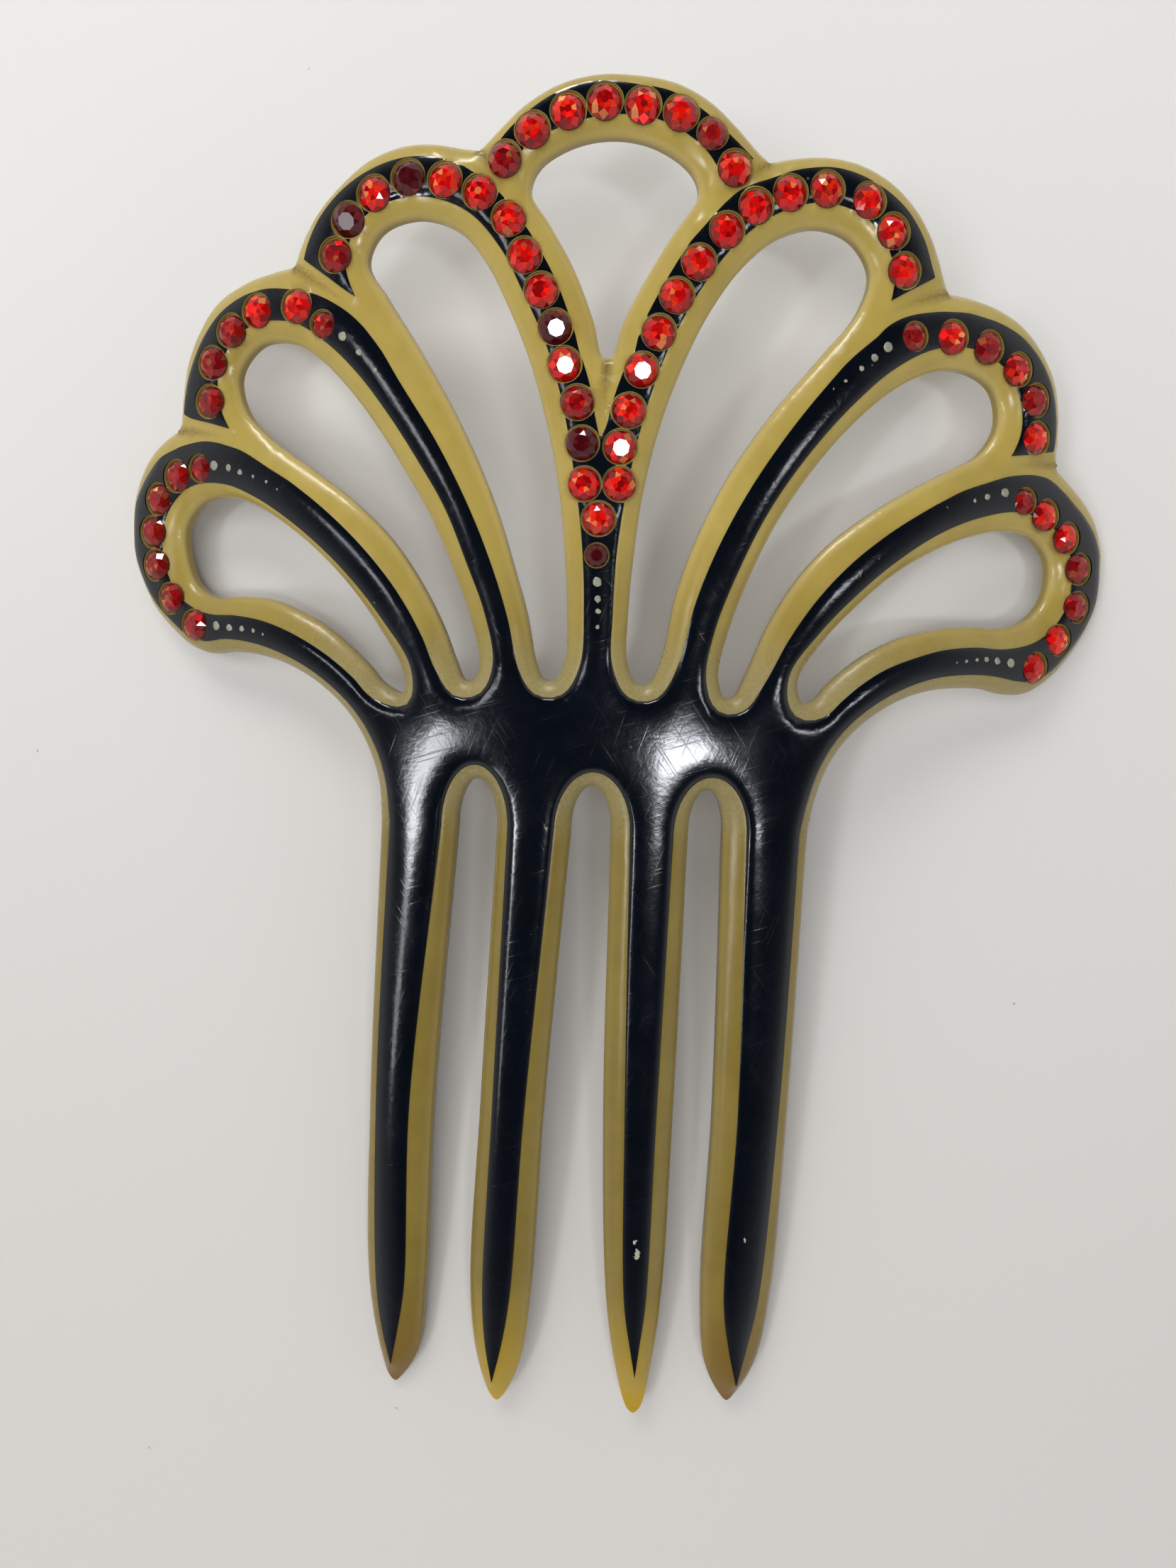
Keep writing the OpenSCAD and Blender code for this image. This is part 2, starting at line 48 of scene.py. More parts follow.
def linear(hex_colour):
    """sRGB hex to the linear colour that shaders take"""
    parts = [int(hex_colour[i:i + 2], 16) / 255 for i in (1, 3, 5)]
    return tuple(c / 12.92 if c <= 0.04045 else ((c + 0.055) / 1.055) ** 2.4 for c in parts) + (1,)


def feed(tree, node, **values):
    """Give a node its settings, in lower case, and then its inputs: underscores stand for spaces,
    _0 is the first input, and a node as a value means the first of its outputs in use"""
    for name, value in values.items():
        if name[0].islower():
            setattr(node, name, value)
            continue
        socket = node.inputs[int(name[1:]) if name[0] == "_" else name.replace("_", " ")]
        if isinstance(value, bpy.types.Node):
            value = next(out for out in value.outputs if out.enabled)
        if isinstance(value, bpy.types.NodeSocket):
            tree.links.new(value, socket)
        else:
            socket.default_value = value
    return node


def add(tree, kind, **values):
    """New node with its settings and inputs"""
    return feed(tree, tree.nodes.new(kind), **values)


def material(name):
    """New material, its tree and its shader"""
    made = bpy.data.materials.new(name)
    made.use_nodes = True
    return made, made.node_tree, made.node_tree.nodes["Principled BSDF"]


def put(name, data):
    """New object in the scene"""
    made = bpy.data.objects.new(name, data)
    bpy.context.collection.objects.link(made)
    return made


paper_w = 1.6
paper_mesh = bpy.data.meshes.new("paper")
paper_mesh.from_pydata([(x * paper_w, y * paper_w, 0) for x, y in (
    (-1, -1), (1, -1), (1, 1), (-1, 1))], [], [(0, 1, 2, 3)])
paper = put("paper", paper_mesh)

# Smooth white cartridge paper: matt, with a soft mottle a few centimetres across and 1 mm grain
paper_look, tree, shader = material("cartridge_paper")
place = add(tree, "ShaderNodeTexCoord").outputs["Object"]
mottle = add(tree, "ShaderNodeTexNoise", Vector=place, Scale=9.0, Detail=2.0)
# Painted shade: greyer towards its near edge, which lies farther from the window
depth = add(tree, "ShaderNodeSeparateXYZ", Vector=place).outputs["Y"]
painted_near_edge_shade = add(tree, "ShaderNodeMapRange", interpolation_type="SMOOTHSTEP", _0=depth, _1=0.13,
                _2=-0.09)
# Small flecks in the paper, under half a millimetre across
cells = add(tree, "ShaderNodeTexVoronoi", Vector=place, Scale=75.0)
fleck = add(tree, "ShaderNodeMapRange", _0=cells, _1=0.008, _2=0.018, _3=0.5, _4=0.0)
tone = linear("#DAD9D7")
for amount, colour in ((mottle, "#E2E1E0"), (painted_near_edge_shade, "#CDCAC7"), (fleck, "#6B665C")):
    tone = add(tree, "ShaderNodeMix", data_type="RGBA", _0=amount, _6=tone, _7=linear(colour))
grain = add(tree, "ShaderNodeTexNoise", Vector=place, Scale=900.0, Detail=3.0)
felt = add(tree, "ShaderNodeBump", Strength=0.15, Distance=0.0001, Height=grain)
feed(tree, shader, Base_Color=tone, Normal=felt, Roughness=0.75)
paper_mesh.materials.append(paper_look)

# The photo's own camera: its lens sees 1659 pixels across at 1661 pixels' distance
view = bpy.data.cameras.new("camera")
view.sensor_fit = "HORIZONTAL"
view.sensor_width = 36
view.lens = 36 * 1661 / 1659
view.clip_start = 0.01
camera = put("camera", view)
camera.location = (-3.18 * mm, 0.88 * mm, 165.1 * mm)
camera.rotation_euler = (0, 0, math.radians(1.708))
bpy.context.scene.camera = camera

# Each lamp's place, the way that its length runs, its width and length, watts and colour
for name, place, along, width, length, watts, tint in (
        ("lamp_left", (-0.55, -0.29, 1.0), (-0.14, -0.12, 0), 0.10, 0.22, 1.4, "#F6F9FF"),
        ("lamp_left_end", (-0.66, -0.47, 1.0), (-0.12, -0.3, 0), 0.08, 0.35, 0.5, "#F6F9FF"),
        ("lamp_far_left", (-0.6, 0.1, 1.0), (-0.28, 0.15, 0), 0.1, 0.32, 0.6, "#F6F9FF"),
        ("lamp_right", (0.23, -0.25, 1.0), (0, 1, 0), 0.15, 0.08, 1.6, "#F6F9FF"),
        ("lamp_far_right", (0.62, 0.0, 1.0), (0.5, -0.1, 0), 0.06, 0.18, 0.4, "#F6F9FF"),
        ("ceiling", (-0.22, -0.05, 1.0), (0, 1, 0), 0.7, 0.6, 4.2, "#FFFDFA"),
        ("window", (-0.22, 0.5, 0.48), (1, 0, 0), 0.28, 0.38, 1.7, "#FFFDF8"),
        ("sill", (-0.12, 0.6, 0.4), (1, 0, 0), 0.06, 0.26, 1.5, "#FFFDF8")):
    lamp = bpy.data.lights.new(name, "AREA")
    lamp.shape = "RECTANGLE"
    lamp.size, lamp.size_y = width, length
    lamp.energy = watts
    lamp.color = linear(tint)[:3]
    held = put(name, lamp)
    away = Vector(place).normalized()
    across = Vector(along).cross(away).normalized()
    held.matrix_world = Matrix((across, away.cross(across), away)).transposed().to_4x4()
    held.location = place
    # The ceiling and the blind are too dull for their mirror images in the black to show, and
    # the bright sill below the blind is too narrow to light the paper
    held.visible_glossy = name not in ("ceiling", "window")
    held.visible_diffuse = name != "sill"
bpy.context.scene.view_settings.view_transform = "Standard"

# Bright round the sides of the room, dark straight above where the viewer leans over
room = bpy.data.worlds.new("room")
room.use_nodes = True
bpy.context.scene.world = room
tree = room.node_tree
look = add(tree, "ShaderNodeTexCoord").outputs["Generated"]
height = add(tree, "ShaderNodeSeparateXYZ", Vector=look).outputs["Z"]
dome = add(tree, "ShaderNodeMapRange", interpolation_type="SMOOTHSTEP", _0=height, _1=0.35,
           _2=0.85, _3=0.72, _4=0.02)
feed(tree, tree.nodes["Background"], Color=linear("#F7F6F4"), Strength=dome)

# ---- Horn coloured sheet
# Thick sheet of horn coloured celluloid, sawn to a fan of pierced petals over four teeth. Its
# edges are carved to a rounded slope and buffed, and it's bent to the head while warm.

# In millimetres on the flat sheet, s across it and t along it. It touches the roller that it's
# bent round along crest_s, is tipped, and then lies with this origin at the frame's own
bend_r, crest_s, sheet_t = 140.0, 2.5, 3.5
tilt = math.radians(7.408)
origin = (0.1724, -24.778, 120.93)
# Heights over its back: foot of the carved slope, land under the black, ring and floor of a pit
edge_h, horn_top, ring_top, pit_floor = 1.45, 2.8, 2.97, 2.5
# The teeth at their roots, half way, low down and near their ends, where the black ends before
# the horn, and the width of a blunt tip
root_t, mid_t, low_t, end_t, black_end_t, tip_w = -12, -50, -76, -86, -83, 1.8
# Tops of the three gaps between them, in the horn and in the black
gap_tops, black_gap_tops = (-6, -6.4, -6.6), (-4.1, -4.5, -4.8)
# Spacing of the points along an edge
pitch = 0.5

# Outer edge of each petal: place across and along, and the width of the carved slope there
petals = [
    [[-28.1, -12, 1.7], [-28.5, -7, 1.5], [-30, -2.7, 1.5], [-32.6, 1.4, 1.4], [-36.7, 5, 1.3],
     [-41.2, 7.4, 1.3], [-46, 8.7, 1.5], [-50.5, 9, 1.7], [-54.2, 8.7, 1.6], [-57.7, 9.6, 1.5],
     [-60.8, 11.6, 1.5], [-64.1, 14.4, 1.5], [-66.5, 17.9, 1.5], [-68, 21.7, 1.5],
     [-68.2, 25.5, 1.5], [-67.9, 29, 1.7], [-66.8, 32.1, 2.2], [-64.9, 34.7, 2.4],
     [-62.2, 36.8, 2.2]],
    [[-59.1, 38.3, 1.8], [-58.5, 42, 1.5], [-57.8, 46.2, 2], [-55.8, 50.3, 2.2], [-52.6, 53.9, 2.3],
     [-48.2, 56, 2.1], [-44, 57, 2.2]],
    [[-40.7, 57.5, 2], [-39.4, 60.6, 1.7], [-37.2, 63.8, 1.4], [-34, 66.9, 1.4], [-30.2, 69.5, 1.8],
     [-26, 70.8, 1.9], [-22, 70.9, 1.9], [-18.5, 70.3, 2]],
    [[-16.1, 70, 2], [-13.7, 72.3, 1.4], [-10.7, 75, 1.4], [-6.6, 77.3, 1.3], [-2, 78.45, 1.3],
     [2.7, 78.5, 1.6], [7.6, 77.8, 1.7], [11.8, 75.9, 1.9], [15.3, 73.1, 1.8], [17.7, 70.8, 1.6]],
    [[19.4, 69.5, 1.9], [23, 70.3, 1.7], [27, 70.7, 1.6], [31, 70.3, 1.8], [35, 68.8, 1.9],
     [38.4, 66.4, 1.9], [41.1, 63.1, 2], [42.9, 59.5, 2.2]],
    [[44.1, 56.5, 2.2], [48, 56.2, 2.3], [52.1, 55.4, 2.2], [56, 53.8, 2.1], [59.5, 51, 2],
     [62.1, 47.4, 2], [63.2, 43.2, 1.8], [63.4, 39.6, 1.8]],
    [[63.3, 36.6, 2.2], [66.4, 34.6, 2.5], [69.7, 32.2, 2.5], [72.3, 29.2, 2.3], [73.6, 25.6, 2],
     [73.6, 22, 1.7], [73, 18.4, 1.5], [71.2, 14.8, 1.5], [68.3, 11.3, 1.5], [65, 8.4, 1.5],
     [61.5, 6.6, 1.6], [58, 6.3, 1.9], [54, 7, 1.8], [50, 7.1, 1.8], [45.4, 6.7, 1.7],
     [40.8, 5.3, 1.6], [36.6, 2.9, 1.6], [33.3, -0.1, 1.6], [30.9, -3.8, 1.5], [29.5, -8, 1.5],
     [28.8, -12, 1.6]]]
# Edge of each hole, in the same way
holes = [
    [[0.8, 46.3, 2.4], [-0.3, 46.3, 2.4], [-1.6, 50.5, 2.6], [-4.2, 56.5, 2.6], [-7.2, 61.4, 2.6],
     [-9.7, 65.3, 2.6], [-8.7, 68.1, 2.3], [-4.6, 70.6, 1.8], [0.3, 71.5, 2], [5.4, 70.7, 2.3],
     [9.8, 68, 2.4], [10.8, 65.4, 2.6], [7.7, 60.5, 2.3], [4.7, 55.5, 2.3], [2, 50, 2.3]],
    [[-5.2, 6.9, 2], [-6.6, 6.9, 2], [-7.7, 9, 2.2], [-8.9, 14.6, 2.3], [-10.7, 20.5, 2.4],
     [-13.5, 28.5, 2.9], [-17.6, 37.2, 3.4], [-23, 46.2, 3.9], [-28, 53.4, 3.3], [-30.6, 57.5, 2.2],
     [-28.9, 61, 2], [-24, 62.5, 2], [-18.6, 60.9, 2.2], [-15, 57, 2.4], [-12.3, 52.2, 2.4],
     [-9.5, 46, 2.6], [-7.3, 39.2, 2.5], [-5.5, 31.5, 2.2], [-4.5, 24, 2.3], [-3.9, 16, 2.2],
     [-4, 9.5, 2.1]],
    [[-15.7, 6.6, 1.9], [-17, 6.5, 2.1], [-18.2, 8.8, 2.5], [-20, 13.1, 2.6], [-23.1, 18.6, 2.8],
     [-27.3, 24.1, 3.1], [-32.7, 28.8, 2.9], [-38.7, 32.8, 2.6], [-44.8, 36.7, 2.8],
     [-48.6, 40.5, 2.4], [-49.4, 44.8, 2], [-46, 48.3, 2], [-41, 48.3, 2.3], [-36.8, 46, 2.3],
     [-32.8, 42.3, 2.4], [-28.9, 37.6, 2.4], [-25.1, 32.2, 2.4], [-21.6, 26.6, 2.4],
     [-18.6, 20.2, 2.2], [-16.3, 14.4, 2.2], [-15.1, 9, 2.1]],
    [[-25.2, 4.6, 1.6], [-27.9, 5.6, 2], [-30.1, 7.8, 2.1], [-33, 10.3, 2.3], [-36.4, 12.7, 2.6],
     [-40.3, 14.6, 2.7], [-44.5, 16, 2.8], [-49, 16.3, 2.5], [-53.6, 16.1, 2.1], [-57, 17.9, 2.3],
     [-58.7, 21.7, 2.6], [-58.7, 25.4, 2.4], [-55.8, 28.6, 2], [-51, 29.3, 1.5], [-46.2, 27.9, 1.2],
     [-41.2, 25.1, 1.1], [-36.4, 21.5, 1.1], [-32.1, 17.3, 1.2], [-28.5, 12.7, 1.4],
     [-25.4, 7.6, 1.7]],
    [[6.8, 6.7, 1.9], [5.3, 6.7, 1.9], [4, 9.5, 2], [3.9, 15, 2], [4.4, 23, 2.2], [5.4, 31, 2.1],
     [7.4, 39.3, 2.3], [10.1, 46.6, 2.5], [13.1, 52.5, 2.4], [16.9, 57.7, 2.4], [21.2, 61.2, 2.3],
     [26, 62.6, 2.4], [30.6, 61.4, 2.5], [33.2, 57.8, 2.4], [32, 53.3, 2.9], [27.2, 47.4, 2.6],
     [21.4, 40.5, 2.8], [16.1, 32.7, 2.9], [12.4, 25.1, 2.7], [9.8, 17.3, 2.4], [8.5, 10.3, 2.1]],
    [[18, 5.4, 1.9], [16.7, 5.3, 1.9], [15.8, 8, 1.9], [16.8, 13.4, 2], [19.2, 20.3, 1.9],
     [22.8, 27.8, 1.9], [27.5, 34.7, 1.9], [32.7, 40.5, 2], [37.8, 44.6, 2.3], [43, 47, 2.5],
     [48.1, 47.3, 2.4], [52.2, 45.3, 2.2], [53.3, 41.1, 2.6], [50.8, 37.3, 2.9], [46, 34.8, 2.8],
     [40.7, 32.1, 2.9], [35.1, 28.8, 3.1], [29.8, 24.8, 3.3], [25.4, 19.9, 3.2], [22, 14.2, 2.8],
     [19.6, 8.5, 2.3]],
    [[27, 5, 2.1], [26.4, 7.8, 1.8], [29.5, 12.7, 1.5], [34.1, 17.5, 1.5], [39.4, 21.8, 1.6],
     [45.4, 25.1, 2], [51.1, 27.1, 2.2], [56.5, 27.9, 2.3], [60.9, 27, 2.1], [63.8, 24, 2.4],
     [63.6, 19.5, 2.7], [60.6, 16.3, 2.7], [56, 15.1, 2.7], [51, 15.1, 2.6], [45.7, 14.6, 2.6],
     [40.8, 13.4, 2.7], [36.5, 11.5, 2.5], [33, 9.2, 2.4], [30.4, 6.9, 2.3], [28.6, 5, 2.1]]]
# Left and right edge of each tooth at the four places along it, and then its point
teeth = [[-28.1, -17.6, -29.5, -20.4, -29.5, -21.2, -27.8, -22.2, -25.5, -91],
         [-12.3, -2.6, -13.9, -5.2, -14.8, -6.4, -13.6, -7.7, -10.8, -92],
         [2.6, 12.7, 2.8, 12.2, 4, 11.6, 5.6, 10.5, 8.3, -93],
         [17.3, 28.8, 17.7, 28.1, 17.2, 27, 18.2, 25.2, 21.5, -91.5]]
# The same for the black strip on it
strips = [[-26.4, -19.4, -28, -23.3, -27.8, -23.8, -26.8, -24.8, -25.6, -87.6],
          [-10.7, -4.7, -12, -7.7, -12.8, -9.1, -12.3, -10.1, -11.3, -88.5],
          [5, 10.6, 5.6, 9.8, 6.4, 9.3, 7.5, 8.6, 8.2, -86.8],
          [20.1, 27.2, 20.7, 26.3, 20, 24.8, 21, 23.5, 22.3, -88.5]]
# Grooves that part the black of neighbouring petals, each with its outline and its middle line
grooves = [
    [[[-16.5, 71.5], [-14.6, 70.3], [-12.8, 68.6], [-11, 66.9], [-9.5, 65.5], [-10, 62.8],
      [-12.2, 63.8], [-13.4, 64.8], [-15, 66.2], [-16.8, 67.2], [-18.2, 68], [-19.5, 68.4],
      [-19, 71]],
     [[-16.1, 69.6], [-13.8, 67.4], [-12, 65.6]]],
    [[[-39.5, 58.5], [-38, 57.5], [-35.2, 55.6], [-32.4, 53.7], [-30, 52.3], [-27.5, 49.5],
      [-28.6, 47.8], [-30, 49.2], [-32, 51], [-34, 52.3], [-36, 53.3], [-38, 54], [-40, 54.4],
      [-42.5, 54.7], [-43.5, 58]],
     [[-40.4, 57.2], [-36, 54.6], [-32.2, 52.2]]],
    [[[-58.5, 40.2], [-56, 39.3], [-53, 38.6], [-49.9, 37.8], [-47.5, 37.3], [-44, 35.5],
      [-43.5, 33.2], [-45.7, 34.1], [-48, 35], [-50, 35.6], [-52, 36.1], [-54, 36.3], [-56, 36.1],
      [-58.1, 35.7], [-60.6, 34.9], [-62.5, 36.8]],
     [[-58.9, 38], [-54, 37.3], [-50, 36.7]]],
    [[[18.5, 71.5], [17.2, 69.5], [15, 67.8], [12.8, 66.4], [11, 65.5], [9.5, 61.5], [11, 61.5],
      [12.5, 63], [14, 64.3], [15.2, 65.4], [16.4, 66.1], [18, 66.8], [20, 67.4], [21, 68],
      [21, 71]],
     [[19.2, 69.1], [16, 67], [13, 65.1]]],
    [[[42.5, 58.5], [40.8, 57.5], [38.3, 56.1], [35.8, 54.7], [34, 53.6], [31, 51], [30.5, 48.5],
      [32.8, 49], [33.9, 50.1], [35.2, 51.4], [37, 52.5], [39, 53.2], [41, 53.6], [43, 53.9],
      [45, 54], [46, 58]],
     [[43.7, 56.3], [39, 54.8], [35.2, 53]]],
    [[[64, 39.5], [62, 38.5], [60, 38.1], [58, 37.7], [55, 37.3], [53, 37], [50, 34.8],
      [48.5, 32.9], [51.9, 33.9], [54.2, 34.6], [56, 34.9], [58, 35.1], [60, 35], [61.8, 34.6],
      [63.6, 34], [66, 36.5]],
     [[63, 36.8], [58, 36.4], [54, 35.9]]],
    [[[-4.2, 51], [-3.6, 48.3], [-2.9, 46.1], [-2.1, 43.8], [-1.6, 42.1], [-1.1, 39.5],
      [-0.7, 37.8], [-0.3, 36.6], [0, 37], [0.5, 38.2], [0.9, 40.1], [1.4, 41.8], [2.1, 43.9],
      [2.8, 46], [3.7, 47.9], [4.9, 51]],
     [[0.3, 45.4], [0.1, 42], [-0.1, 39]]]]
# Stones of each row: place across and along, and 0 for a dark foil, 1 for a dulled one, 2 for a
# bright one. The table of a bright 3 and a dark 5 catches the right lamp, and that of a dark 4
# the end of the left one. The few that are smaller than the rest have their own width.
stone_w = 4.1
stone_rows = {
    "stones_top": [[-12.7, 68.3, 1], [-9.4, 71.5, 2], [-5.2, 73.6, 2], [-0.9, 74.7, 2],
        [3.6, 74.4, 2], [8.1, 73.7, 2], [11.9, 71.6, 1, 3.6], [14.8, 67.9, 2]],
    "stones_upper_left": [[-34, 58, 1], [-32.3, 62, 4], [-28.9, 64.9, 2], [-24.5, 66.5, 0],
        [-19.9, 66.1, 2], [-15.6, 64.6, 2], [-12, 61.6, 2], [-10, 57.4, 2], [-7.9, 53.4, 2],
        [-6.1, 49.2, 5], [-4.9, 44.9, 3], [-3.2, 40.5, 1], [-2.5, 35.7, 0], [-2.1, 30.9, 2]],
    "stones_upper_right": [[36.8, 58, 2], [35, 62.4, 2], [31.6, 65.6, 2], [26.2, 66.4, 2],
        [21.6, 65.6, 2], [17.5, 63.8, 2], [14.1, 60.9, 2], [10.9, 57.1, 2], [8.4, 53.2, 2],
        [6.4, 48.9, 2], [4.5, 44.5, 3], [3.1, 39.7, 2], [2.2, 35.4, 3], [2.3, 31, 2]],
    "stones_middle_left": [[-52.6, 41.2, 1], [-52.1, 46, 1], [-49.1, 49.8, 1], [-45.1, 52, 2],
        [-39.3, 52.2, 2], [-35.7, 49.9, 1, 3.3]],
    "stones_middle_right": [[38.7, 50.4, 1, 3.4], [44.1, 50.8, 2], [49.5, 50.1, 1], [54.2, 47.9, 2],
        [57.4, 44.4, 1], [58, 39.7, 2]],
    "stones_lower_left": [[-54.3, 32.8, 1, 3.4], [-58.2, 31.9, 1], [-61.6, 29, 1], [-62.8, 24.7, 1],
        [-62.3, 20.3, 1], [-59.7, 15.9, 1], [-55.6, 12.4, 1]],
    "stones_lower_right": [[56.9, 31.6, 1, 3.4], [60.6, 30, 2], [64.6, 27.3, 2], [67.3, 23.4, 1],
        [67.5, 18.3, 1], [64.5, 13.8, 2], [60.7, 10, 2]],
    "stones_stem": [[-0.2, 26.8, 2], [-0.3, 22.4, 0, 2.9]]}
stone_rows = {name: [(s, t, kind, *(width or [stone_w])) for s, t, kind, *width in row]
              for name, row in stone_rows.items()}


def smooth_way(u, a, out_a, b, in_b):
    """Share u of the way from a to b, on a curve with a slope given at each end"""
    return ((2 * u ** 3 - 3 * u * u + 1) * a + (u ** 3 - 2 * u * u + u) * out_a
            + (3 * u * u - 2 * u ** 3) * b + (u ** 3 - u * u) * in_b)


def through(points, closed=False):
    """Even curve through given points"""
    p = np.array(points, float)
    count = len(p)
    curve = []
    for i in range(count if closed else count - 1):
        a, b, c, d = (p[(i + k) % count] if closed else p[min(max(i + k, 0), count - 1)]
                      for k in (-1, 0, 1, 2))
        # Slopes weighed by the distances, so that a short stretch beside a long one stays smooth
        before, here, after = (max(math.dist(m[:2], n[:2]), 1e-6) ** 0.5
                               for m, n in ((a, b), (b, c), (c, d)))
        out_b = c - b if before < 0.01 else (
            (b - a) / before - (c - a) / (before + here) + (c - b) / here) * here
        in_c = c - b if after < 0.01 else (
            (c - b) / here - (d - b) / (here + after) + (d - c) / after) * here
        steps = max(1, round(math.dist(b[:2], c[:2]) / pitch))
        curve += [smooth_way(u, b, out_b, c, in_c) for u in np.arange(steps) / steps]
    return np.array(curve if closed else curve + [p[-1]])


def beside(line, away):
    """A closed line moved to its left by the distances given"""
    normals = []
    for step in (line - np.roll(line, 1, 0), np.roll(line, -1, 0) - line):
        step = step / np.maximum(np.linalg.norm(step, axis=1, keepdims=True), 1e-9)
        normals.append(np.stack([-step[:, 1], step[:, 0]], 1))
    # A sharp corner isn't thrown far out
    m, n = normals
    opening = 1 + np.maximum(np.sum(m * n, 1, keepdims=True), -0.5)
    return line + (m + n) * np.reshape(away, (-1, 1)) / opening


def tooth(row, last_t, point_w):
    """Edge of a tooth, down its left side and up its right: blunt, or sharp without a width"""
    left, right = ([[x, t] for x, t in zip(row[side:8:2], (root_t, mid_t, low_t, last_t))]
                   for side in (0, 1))
    if point_w == 0:
        down, up = (through(side + [row[8:]]) for side in (left, right))
        return np.vstack([down, up[::-1][1:]])
    tip = [[row[8] + side * point_w / 2, row[9] + abs(side) * point_w * 0.45]
           for side in (-1, 0, 1)]
    return through(left + tip + right[::-1])


def arch(a, b, top):
    """Round top of the gap between two teeth"""
    turns = [math.pi * k / 22 for k in range(1, 22)]
    return np.array([[(a + b) / 2 - math.cos(turn) * (b - a) / 2,
                      root_t + math.sin(turn) * (top - root_t)] for turn in turns])


def outline(fan, rows, tops, last_t, point_w):
    """Edge of a layer: over the fan from right to left, then down and up the teeth"""
    parts = [fan[::-1][1:-1], tooth(rows[0], last_t, point_w)]
    for left, right, top in zip(rows, rows[1:], tops):
        parts += [arch(left[1], right[0], top), tooth(right, last_t, point_w)]
    return np.vstack(parts)


fan = np.vstack([through(p + after[:1])[:-1] for p, after in zip(petals, petals[1:])]
                + [through(petals[-1])])
# The curves don't swing out past the comb's own width and height
fan[:, :2] = np.clip(fan[:, :2], (-68.2, -np.inf), (73.58, 78.65))
rings = [through(p, closed=True) for p in holes]
horn_lines = [outline(fan[:, :2], teeth, gap_tops, end_t, tip_w)] + [p[:, :2] for p in rings]
black_lines = [outline(beside(fan[:, :2], -fan[:, 2]), strips, black_gap_tops, black_end_t, 0)]
black_lines += [beside(p[:, :2], p[:, 2]) for p in rings]

# Each pit and the ring round it are a little wider than the stone, which lies in it a little
# towards the middle of the fan
pit_share, ring_share = 1.05, 1.095
fan_middle, pit_shift = (0, 20, 0), (0.005, 0.004, 0)
stones = np.array([(s, t, w) for row in stone_rows.values() for s, t, kind, w in row])
pits = stones + (stones - fan_middle) * pit_shift
circle = np.array([(math.cos(math.pi * k / 14), math.sin(math.pi * k / 14)) for k in range(28)])


def circles(share):
    """Round lines of a share of the stones' width, one at each pit"""
    return [circle * p[2] / 2 * share + p[:2] for p in pits]


def in_pits(places, share, beyond=0.0):
    """Which places lie in such a line, or not far beyond it"""
    hit = np.zeros(len(places), bool)
    for p in pits:
        hit |= np.hypot(*(places - p[:2]).T) < p[2] / 2 * share + beyond
    return hit


def inside(places, line):
    """Which places lie inside a closed line"""
    hit = np.zeros(len(places), bool)
    x, y = places[:, 0], places[:, 1]
    for (ax, ay), (bx, by) in zip(line, np.roll(line, -1, 0)):
        if ay != by:
            cut = np.flatnonzero((ay > y) != (by > y))
            hit[cut] ^= x[cut] < ax + (y[cut] - ay) * (bx - ax) / (by - ay)
    return hit


def in_lines(places, lines):
    """Which places lie between an outline and the holes that follow it"""
    hit = inside(places, lines[0])
    for line in lines[1:]:
        hit &= ~inside(places, line)
    return hit


def soft_bend(near, inner, lines, past=5):
    """Curve from the inner spot of a groove to the edge of the black, a few points past the near
    spot, where the groove would leave it at an angle, and two spots beyond the edge"""
    edge = min(lines, key=lambda line: np.hypot(*(line - near).T).min())
    k = np.hypot(*(edge - near).T).argmin()
    way = 1 if (edge[(k + 1) % len(edge)] - edge[k - 1]) @ (near - inner) > 0 else -1
    leave, after = (edge[(k + way * n) % len(edge)] for n in (past, past + 1))
    reach = math.dist(inner, leave)
    into = (near - inner) / math.dist(near, inner) * reach
    on = (after - leave) / math.dist(after, leave)
    side = np.array([-on[1], on[0]])
    if in_lines((leave + side * 0.3)[None], lines)[0]:
        side = -side
    curve = [smooth_way(u, inner, into, leave, on * reach) for u in np.arange(1, 8) / 8]
    return np.array(curve + [leave + side * 0.02, leave + side * 0.8])


def eased(groove, lines, soft=4):
    """Groove whose lower side runs into the edges of the black in soft bends, a few points long"""
    cut = in_lines(groove, lines)
    first = np.flatnonzero(cut & ~np.roll(cut, 1))[-1]
    last = np.flatnonzero(cut & ~np.roll(cut, -1))[-1]
    from_hole = soft_bend(groove[first], groove[first + soft], lines)[::-1]
    to_notch = soft_bend(groove[last], groove[last - soft], lines)
    return np.vstack([groove[:first], from_hole, groove[first + soft:last - soft + 1], to_notch,
                      groove[last + 1:]])


# The last groove, at the foot of the top petal, opens evenly and needs no easing
groove_lines = [through(g[0], closed=True) for g in grooves]
groove_lines = [eased(line, black_lines) for line in groove_lines[:6]] + groove_lines[6:]
black_edges = black_lines + groove_lines


def tree_of(points):
    """Flat points sorted for quick search of the nearest"""
    found = KDTree(len(points))
    for i, p in enumerate(points):
        found.insert((p[0], p[1], 0), i)
    found.balance()
    return found


def clear_of(places, edges, gap):
    """The places that are farther than the gap from every edge"""
    return places[[edges.find((x, y, 0))[2] > gap for x, y in places]]


def lattice(step, lines, edges, gap):
    """Places in an equal sided lattice over the sheet, between lines and clear of the edges"""
    row = np.arange(-70, 76, step)
    places = np.vstack([np.stack([row + step / 2 * (k % 2), np.full(len(row), t)], 1)
                        for k, t in enumerate(np.arange(-94, 80, step * 0.866))])
    return clear_of(places[in_lines(places, lines)], edges, gap)


